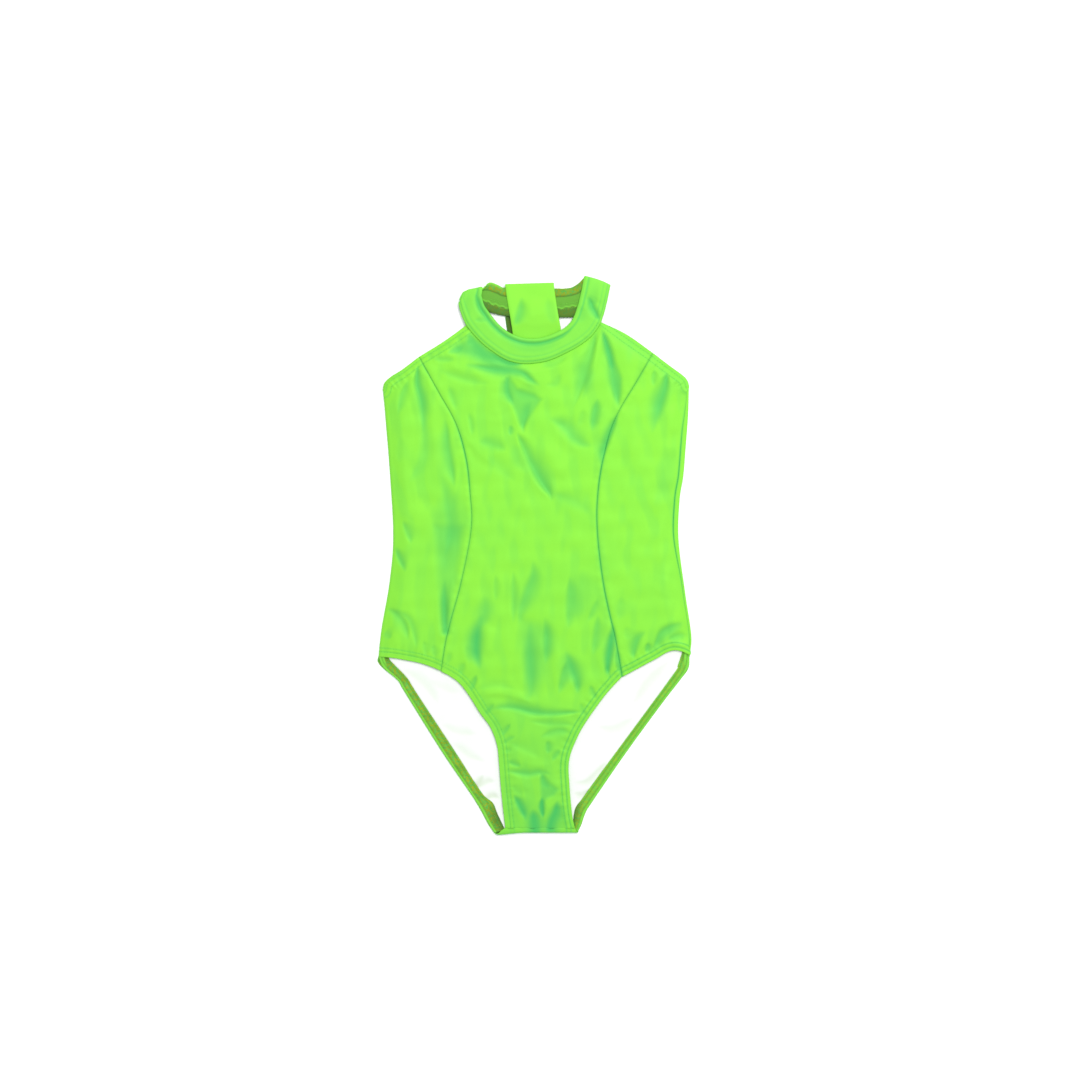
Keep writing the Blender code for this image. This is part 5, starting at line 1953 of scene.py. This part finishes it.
@dataclass
class LegHems:
    """The back's leg edges, turned in over the lining and sewn down."""

    outline: Outline
    layers: Layers
    rows: int = 200
    columns: int = 20
    stitch_shares: Point = (0.3, 0.78)
    length: float = 215.0
    widest: float = 12.5
    pucker: float = 0.16
    pucker_length: Point = (4.5, 8.5)
    pucker_count: int = 80
    least_pucker: float = 0.2
    seeds: tuple[int, int] = (70, 71)
    groove: float = 0.26
    groove_width: float = 0.8
    groove_shade: float = 0.42
    crown: float = 0.15
    rolled_to: float = 0.75
    roll: float = 1.5
    right_bright: float = 0.42

    def lines(self, side: Side) -> tuple[Array, Array]:
        """The outer and the inner edge of one hem, from the crotch up."""
        cut = self.outline
        pair = (
            (cut.hem_left_outer, cut.hem_left_inner) if side is Side.LEFT
            else (cut.hem_right_outer, cut.hem_right_inner)
        )
        outer, inner = (smooth_line(line, self.rows)[::-1] for line in pair)
        return outer, inner

    def piece(self, side: Side) -> ClothPiece:
        """One hem, its outer edge rolled down to the back and its face puckered."""
        outer, inner = self.lines(side)
        share = graded(self.columns, 1.6, 0.6, 0.12)
        net = outer[:, None] + (inner - outer)[:, None] * share[None, :, None]
        width = np.linalg.norm(inner - outer, axis=1)[:, None]
        away = share[None] * width
        along = np.linspace(0, 1, self.rows)[:, None] * np.ones_like(share)[None]
        seed = self.seeds[0 if side is Side.LEFT else 1]
        pulled = puckers(along * self.length, self.pucker_length, self.least_pucker,
                         self.pucker_count, seed)
        low_end = 1 + 1.2 * (1 - ease(along / 0.16))
        height = self.layers.hem_top + self.pucker * pulled * low_end
        rows = [away - s * np.minimum(width, self.widest) for s in self.stitch_shares]
        grooves = sum(bump(row, self.groove_width) for row in rows)
        height -= self.groove * grooves
        height += self.crown * bump(away - 0.54 * width, 3.0)
        rolled = np.sqrt(1 - np.clip(1 - away / self.roll, 0, 1) ** 2)
        height = self.rolled_to + (height - self.rolled_to) * rolled
        low = 1 - ease_between(along, (0.06, 0.17))
        # Painted shade: the hem's inner part darker near its low end and its top end, and a dark
        # line along its inner edge near the low end.
        deep = darker(0.6 * low * ease_between(away, (3.0, 8.0)),
                      0.45 * ease_between(along, (0.93, 0.99)) * ease_between(away, (5.0, 6.5)))
        deep = darker(deep, self.groove_shade * grooves)
        deep = darker(deep, 0.8 * low * bump(width - away, 1.3))
        edge = 2.3 + 2.6 * ease_between(along, (0.91, 0.97))
        bright = 1 - ease((away - edge) / 1.3)
        # The right hem's colour is also turned greener over all but its low end.
        if side is Side.RIGHT:
            bright = darker(bright, self.right_bright * (1 - low))
        points = np.concatenate([net, height[..., None]], axis=2)
        if side is Side.RIGHT:
            points, deep, bright = points[:, ::-1], deep[:, ::-1], bright[:, ::-1]
        return ClothPiece(f"back_leg_hem_{side.value}", points, self.layers.wall, Slot.INSIDE,
                          painted_shade_and_seams=np.clip(deep, 0, 1), bright=bright)

    def rows_of_stitches(self, side: Side) -> list[StitchRow]:
        """Two zigzag rows along the hem."""
        outer, inner = self.lines(side)
        width = np.linalg.norm(inner - outer, axis=1)[:, None]
        rows = []
        for share in self.stitch_shares:
            offset = (inner - outer) / width * share * np.minimum(width, self.widest)
            rows.append(StitchRow((outer + offset)[4:-4], Seam.ZIGZAG))
        return rows


# --- The neckband and the strap


@dataclass(frozen=True)
class BandFold:
    """Where the ring of the neckband folds over.

    Attributes:
        seam: the fold's end at the sewn edge.
        neck: the fold's end at the neck edge.
        out: the way out of the fold.
        bulge: how far it bulges at even steps from the seam to the neck.
    """

    seam: Point
    neck: Point
    out: Point
    bulge: tuple[float, ...]


@dataclass
class Neckband:
    """The doubled neckband, a ring lying flat with its two ends folded over."""

    outline: Outline
    layers: Layers
    left: BandFold = BandFold((-76.6, 257.0), (-54.6, 269.2), (-0.487, 0.873),
                              (0.0, 4.2, 3.8, 1.8, 0.0))
    right: BandFold = BandFold((74.3, 271.0), (49.0, 280.0), (0.335, 0.942),
                               (0.0, 0.8, 1.0, 0.6, 0.0))
    radius: float = 2.25
    top: float = 6.0
    under: float = 1.5
    tail: float = 0.6
    bulge_reach: float = 20.0
    gap: float = 0.3
    back_top: float = 3.5
    turn: float = 7.6
    allowance: float = 19.6
    # Painted shade over the whole front of the band.
    tone: float = 0.22
    line: float = 0.46
    front_rows: int = 150
    back_rows: int = 110
    columns: int = 30
    fold_steps: int = 16
    seam_inset: float = 2.2
    second_row: float = 6.4
    roll: float = 4.6
    stitch_insets: Point = (15.5, 20.5)
    swell: float = 0.1
    swell_seed: int = 31
    back_swell: float = 0.12
    back_swell_seed: int = 35
    pucker: float = 0.16
    pucker_count: int = 60
    pucker_seed: int = 33

    def turned_over(self, fold: BandFold) -> list[tuple[Array, Array, float]]:
        """Sections round the fold at one end, from the top to the underside."""
        out = np.array(fold.out)
        seam, neck = (np.array(edge) - out * self.radius for edge in (fold.seam, fold.neck))
        rows = []
        for turn in np.linspace(0, math.pi, self.fold_steps + 1):
            away = out * self.radius * math.sin(turn)
            height = self.top - self.radius * (1 - math.cos(turn))
            rows.append((seam + away, neck + away, height))
        rows.append((seam - out * self.tail, neck - out * self.tail, self.under))
        return rows

    def net(self, rows: list[tuple[Array, Array, float]], share: Array) -> Array:
        """The band's net over sections (seam edge, neck edge, height), its ends bulged.

        Args:
            rows: the sections.
            share: the shares across the band.

        Returns:
            The net (rows, columns, 3).
        """
        nets = []
        steps = np.linspace(0, 1, len(self.left.bulge))
        for seam, neck, height in rows:
            edge = (1 - share[:, None]) * np.array(seam) + share[:, None] * np.array(neck)
            for fold in (self.left, self.right):
                middle = (np.array(fold.seam) + np.array(fold.neck)) / 2
                near = 1 - ease(np.linalg.norm(middle - edge.mean(axis=0)) / self.bulge_reach)
                bulge = np.interp(share, steps, fold.bulge)
                edge = edge + near * bulge[:, None] * np.array(fold.out)
            nets.append(np.concatenate([edge, np.full((len(edge), 1), height)], axis=1))
        return np.array(nets)

    @staticmethod
    def sections(seam: Line, neck: Line, count: int) -> tuple[Array, Array]:
        """The two edges of the band, smoothed together along its length."""
        line = smooth_line([(*a, *b) for a, b in zip(seam, neck)], count)
        return line[:, :2], line[:, 2:]

    @staticmethod
    def widths(net: Array, share: Array) -> tuple[Array, Array]:
        """How far each point of the band lies from its seam and from its neck edge."""
        width = np.linalg.norm(net[:, -1, :2] - net[:, 0, :2], axis=1)[:, None]
        return share[None] * width, (1 - share[None]) * width

    def front(self) -> ClothPiece:
        """The front of the band, with both ends of its ring folded under."""
        seam, neck = self.sections(self.outline.band_seam, self.outline.band_neck,
                                   self.front_rows)
        middle = [(a, b, self.top) for a, b in zip(seam, neck)]
        rows = self.turned_over(self.left)[::-1] + middle + self.turned_over(self.right)
        share = graded(self.columns, 1.2, 1.2, 0.08)
        net = self.net(rows, share)
        x, y, height = net[..., 0], net[..., 1], net[..., 2]
        level = ease((height - 5.2) / 0.7)
        from_seam, from_neck = self.widths(net, share)
        creased, deep = relief(BAND_CREASES, x, y)
        folds = creased + unevenness(x, y, self.swell, self.swell_seed)
        folds -= 0.7 * bump(from_seam, 1.6) + 0.22 * bump(from_seam - self.seam_inset, 0.6)
        folds -= 0.45 * bump(from_neck, 1.2)
        folds += 0.15 * bump(from_neck - 2.2, 1.6) - 0.3 * bump(from_neck - self.roll, 1.1)
        folds -= 0.15 * bump(from_seam - self.second_row, 0.8)
        drawn = np.random.default_rng(self.pucker_seed).uniform(-1, 1, self.pucker_count)
        place = np.linspace(0, 1, self.pucker_count)
        pulled = np.interp(np.linspace(0, 1, len(net)), place, drawn)[:, None]
        folds += self.pucker * pulled * bump(from_seam - 2.5, 3.0)
        net[..., 2] = height + folds * level
        # Painted shade: the band's creases, and the whole band a shade darker.
        deep = darker(deep * level, self.tone)
        deep = darker(deep, self.line * bump(from_seam - self.seam_inset, 0.7) * level)
        deep = darker(deep, 0.6 * self.line * bump(from_seam - self.second_row, 0.8) * level)
        # Painted shade in the crease under the rolled neck edge.
        deep = darker(deep, 1.5 * self.line * bump(from_neck - self.roll, 0.9) * level)
        return ClothPiece("neckband_front", net[:, ::-1], self.layers.band_wall,
                          Slot.OUTSIDE, painted_shade_and_seams=deep[:, ::-1])

    def back(self) -> ClothPiece:
        """The back of the band, lying inside up behind the neck opening."""
        ends = []
        for fold in (self.right, self.left):
            seam, neck, _ = self.turned_over(fold)[-1]
            away = np.array(fold.out) * self.gap
            ends.append((tuple(seam - away), tuple(neck - away)))
        seams = (ends[0][0], *self.outline.back_band_seam, ends[1][0])
        necks = (ends[0][1], *self.outline.back_band_neck, ends[1][1])
        seam, neck = self.sections(seams, necks, self.back_rows)
        rows = [(a, b, self.back_top) for a, b in zip(seam, neck)]
        share = graded(self.columns + 12, 0.6, 0.6, 0.08)
        net = self.net(rows, share)
        from_seam, from_neck = self.widths(net, share)
        x, y = net[..., 0], net[..., 1]
        scallop = 0.5 * np.sin(x * 0.9) + 0.4 * np.sin(x * 0.37 + 2)
        net[..., 2] += 0.3 * bump(from_neck - 13, 3.5) - 0.6 * bump(from_neck - self.turn, 1.0)
        net[..., 2] -= 0.5 * bump(from_neck - self.allowance, 1.0) + 0.5 * bump(from_seam, 1.6)
        net[..., 2] += unevenness(x, y, self.back_swell, self.back_swell_seed)
        turned = ease_between(from_neck + scallop, (self.turn - 0.4, self.turn + 0.6))
        low = ease_between(from_neck + scallop, (self.allowance - 0.4, self.allowance + 0.6))
        # Painted shade over the whole band, deeper on its green middle; its seam allowance
        # darkened further.
        deep = darker(0.24 + 0.28 * turned, 0.5 * low)
        left_rim = bump(from_neck, 1.7) * ease_between(x, (-30.0, -38.0))
        deep = darker(deep, 0.75 * bump(from_neck - self.turn, 0.7))
        deep = darker(deep, 0.6 * bump(from_seam, 1.4))
        edge = bump(from_neck + scallop - self.allowance + 0.9, 0.7)
        deep = deep * (1 - 0.8 * edge) * (1 - left_rim)
        return ClothPiece("neckband_back", net, net[..., 2] - self.under, Slot.INSIDE,
                          painted_shade_and_seams=deep, bright=np.clip(turned * (1 - low) + edge + left_rim, 0, 1),
                          behind=Slot.OUTSIDE)

    def front_stitches(self) -> list[StitchRow]:
        """The row of stitches just above the neckband's seam."""
        seam, neck = self.sections(self.outline.band_seam, self.outline.band_neck, 200)
        across = (neck - seam) / np.linalg.norm(neck - seam, axis=1)[:, None]
        return [StitchRow((seam + across * self.seam_inset)[2:-2])]

    def back_stitches(self) -> list[StitchRow]:
        """The zigzag that holds the band's seam allowance on its inside."""
        seam, neck = self.sections(self.outline.back_band_seam, self.outline.back_band_neck, 120)
        across = (seam - neck) / np.linalg.norm(seam - neck, axis=1)[:, None]
        return [StitchRow((neck + across * inset)[6:-6], Seam.ZIGZAG)
                for inset in self.stitch_insets]


@dataclass
class BackStrap:
    """The strap of the back, looped over the back of the neckband."""

    layers: Layers
    half_width: float = 24.1
    radius: float = 2.5
    fold: Point = (-6.5, 270.0)
    tilt: float = 0.03
    edge_drop: float = 0.3
    edge_width: float = 1.2
    swell: float = 0.1
    swell_seed: int = 51
    extra_wall: float = 0.3
    outside: tuple[tuple[float, float, float], ...] = (
        (0.0, 132.5, 0.0), (0.0, 156.0, 0.0), (-0.4, 180.0, 0.0), (-1.8, 204.0, 0.0),
        (-4.2, 224.0, 0.0), (-6.5, 240.0, 0.0), (-6.5, 258.0, 0.0),
    )
    inside: tuple[tuple[float, float, float], ...] = (
        (-4.8, 258.0, 5.0), (-3.2, 248.0, 5.0), (-1.8, 240.0, 4.9), (-0.6, 233.0, 4.4),
        (0.4, 227.0, 3.4), (0.9, 221.5, 2.8), (1.0, 216.0, 2.7), (0.8, 206.0, 2.7),
        (0.4, 186.0, 2.7), (0.0, 160.0, 2.7), (0.0, 122.5, 2.7),
    )
    columns: int = 34

    def piece(self) -> ClothPiece:
        """The strap, up the outside, over the neckband, and down the inside."""
        x, y = self.fold
        turns = np.linspace(-math.pi / 2, math.pi / 2, 15)
        arc = [(x, y + self.radius * math.cos(t), self.radius * (1 + math.sin(t))) for t in turns]
        start = smooth_line(self.outside, 60)
        end = smooth_line(self.inside, 110)
        lower = np.linspace(start[-1], arc[0], 8)
        upper = np.linspace(arc[-1], end[0], 14)
        path = joined(start, lower, np.array(arc), upper, end)
        share = graded(self.columns, 1.0, 1.0, 0.08)
        side = (share * 2 - 1) * self.half_width
        net = np.stack([path[:, :1] + side[None], np.repeat(path[:, 1:2], len(side), 1),
                        np.repeat(path[:, 2:], len(side), 1)], axis=-1)
        net[..., 1] += self.tilt * side[None] * ease((path[:, 1:2] - 240) / 25)
        upper_face = ease((net[..., 2] - 3.6) / 1.2)
        creased, deep = relief(STRAP_CREASES, net[..., 0], net[..., 1])
        off_edge = self.half_width - np.abs(side)[None]
        folds = creased - self.edge_drop * bump(off_edge, self.edge_width)
        folds = folds + unevenness(net[..., 0], net[..., 1], self.swell, self.swell_seed)
        net[..., 2] += folds * upper_face
        # Painted shade: the creases on the upper face, and the strap's whole lower layer darkened
        # as a painted shadow.
        deep = darker(deep * upper_face, 0.9 * ease((1.2 - net[..., 2]) / 0.8))
        return ClothPiece("back_strap", net, self.layers.wall + self.extra_wall,
                          Slot.OUTSIDE, Facing.DOWN, painted_shade_and_seams=deep)


# --- The studio


@dataclass
class Studio:
    """The white paper, the soft light and the camera straight above."""

    view_centre: Point = (4.0, 16.0)
    view_width: float = 1080.0
    lens: float = 100.0
    sensor: float = 36.0
    floor_size: float = 9.0
    floor_z: float = -0.3
    key_place: tuple[float, float, float] = (0.66, 1.16, 2.22)
    key_size: float = 1.9
    key_power: float = 55.0
    key_colour: Colour = (1.0, 0.985, 0.955)
    fill: float = 0.84
    fill_colour: Colour = (0.97, 1.0, 1.04)

    def build(self) -> None:
        """Makes the floor, the lights, the camera and the colour management."""
        mesh = bpy.data.meshes.new("floor")
        half, low = self.floor_size / 2, self.floor_z * MM
        corners = [(-half, -half, low), (half, -half, low), (half, half, low), (-half, half, low)]
        mesh.from_pydata(corners, [], [(0, 1, 2, 3)])
        mesh.materials.append(FloorPaper().make())
        shown("floor", mesh)

        light = bpy.data.lights.new("key", "AREA")
        light.shape = "DISK"
        light.size = self.key_size
        light.energy = self.key_power
        light.color = self.key_colour
        key = shown("key", light)
        key.location = self.key_place
        key.rotation_euler = (-Vector(self.key_place)).to_track_quat("-Z", "Y").to_euler()

        world = bpy.data.worlds.new("studio")
        world.use_nodes = True
        background = world.node_tree.nodes["Background"]
        background.inputs["Color"].default_value = (*self.fill_colour, 1)
        background.inputs["Strength"].default_value = self.fill
        bpy.context.scene.world = world

        camera = bpy.data.cameras.new("camera")
        camera.lens, camera.sensor_width = self.lens, self.sensor
        camera.clip_start, camera.clip_end = 0.05, 50
        above = shown("camera", camera)
        distance = self.view_width * MM * self.lens / self.sensor
        above.location = (self.view_centre[0] * MM, self.view_centre[1] * MM, distance)
        bpy.context.scene.camera = above
        bpy.context.scene.view_settings.view_transform = "Standard"
        bpy.context.scene.view_settings.look = "None"


def corners(box: tuple[Vector, Vector]) -> list[list[float]]:
    """A box as plain lists of numbers."""
    return [[float(value) for value in corner] for corner in box]


def main() -> None:
    """Builds the garment piece by piece, sews it, and lights it."""
    logging.basicConfig(level=logging.INFO, format="%(message)s")
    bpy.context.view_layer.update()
    outline, layers = Outline(), Layers()
    finishes = Finishes()
    stitching = Stitching(finishes.thread)

    front = FrontPanels(outline, layers)
    back = BackPanel(outline, layers, front.side_seam)
    lining = BackLining(outline, layers)
    hems = LegHems(outline, layers)
    band = Neckband(outline, layers)
    strap = BackStrap(layers)

    side_y = smooth_line(outline.side_right, front.side_rows())[:, 1]
    sewing = front.rows_of_stitches()
    plans = (
        (front.centre(), Cut(240, 515, ("back_lining_cloth", "back_panel_cloth")),
         sewing["front_centre"]),
        (front.side_left(), Cut(96, 306, ("back_panel_cloth",)), sewing["front_side_left"]),
        (front.side_right(back.edge_inset(side_y)), Cut(92, 308, ("back_panel_cloth",)),
         sewing["front_side_right"]),
        (back.piece(front.side_rows()), Cut(326, 448, ("floor",)), back.rows_of_stitches()),
        (lining.piece(), Cut(292, 184, ("back_panel_cloth",)), []),
        (hems.piece(Side.LEFT), Cut(16, 216, ("back_panel_cloth",)),
         hems.rows_of_stitches(Side.LEFT)),
        (hems.piece(Side.RIGHT), Cut(16, 216, ("back_panel_cloth",)),
         hems.rows_of_stitches(Side.RIGHT)),
        (band.front(), Cut(28, 232, ("front_centre_cloth", "back_strap_cloth")),
         band.front_stitches()),
        (band.back(), Cut(29, 156, ("back_strap_cloth",)), band.back_stitches()),
        (strap.piece(), Cut(49, 296, ("floor", "neckband_back_cloth")), []),
    )
    for plan, cut, rows in plans:
        piece = plan.build(finishes)
        sewn = stitching.sew(piece, rows) if rows else []
        cut.declare(piece, on_cloth_area(plan.outer), sewn)

    Studio().build()


if __name__ == "__main__":
    main()
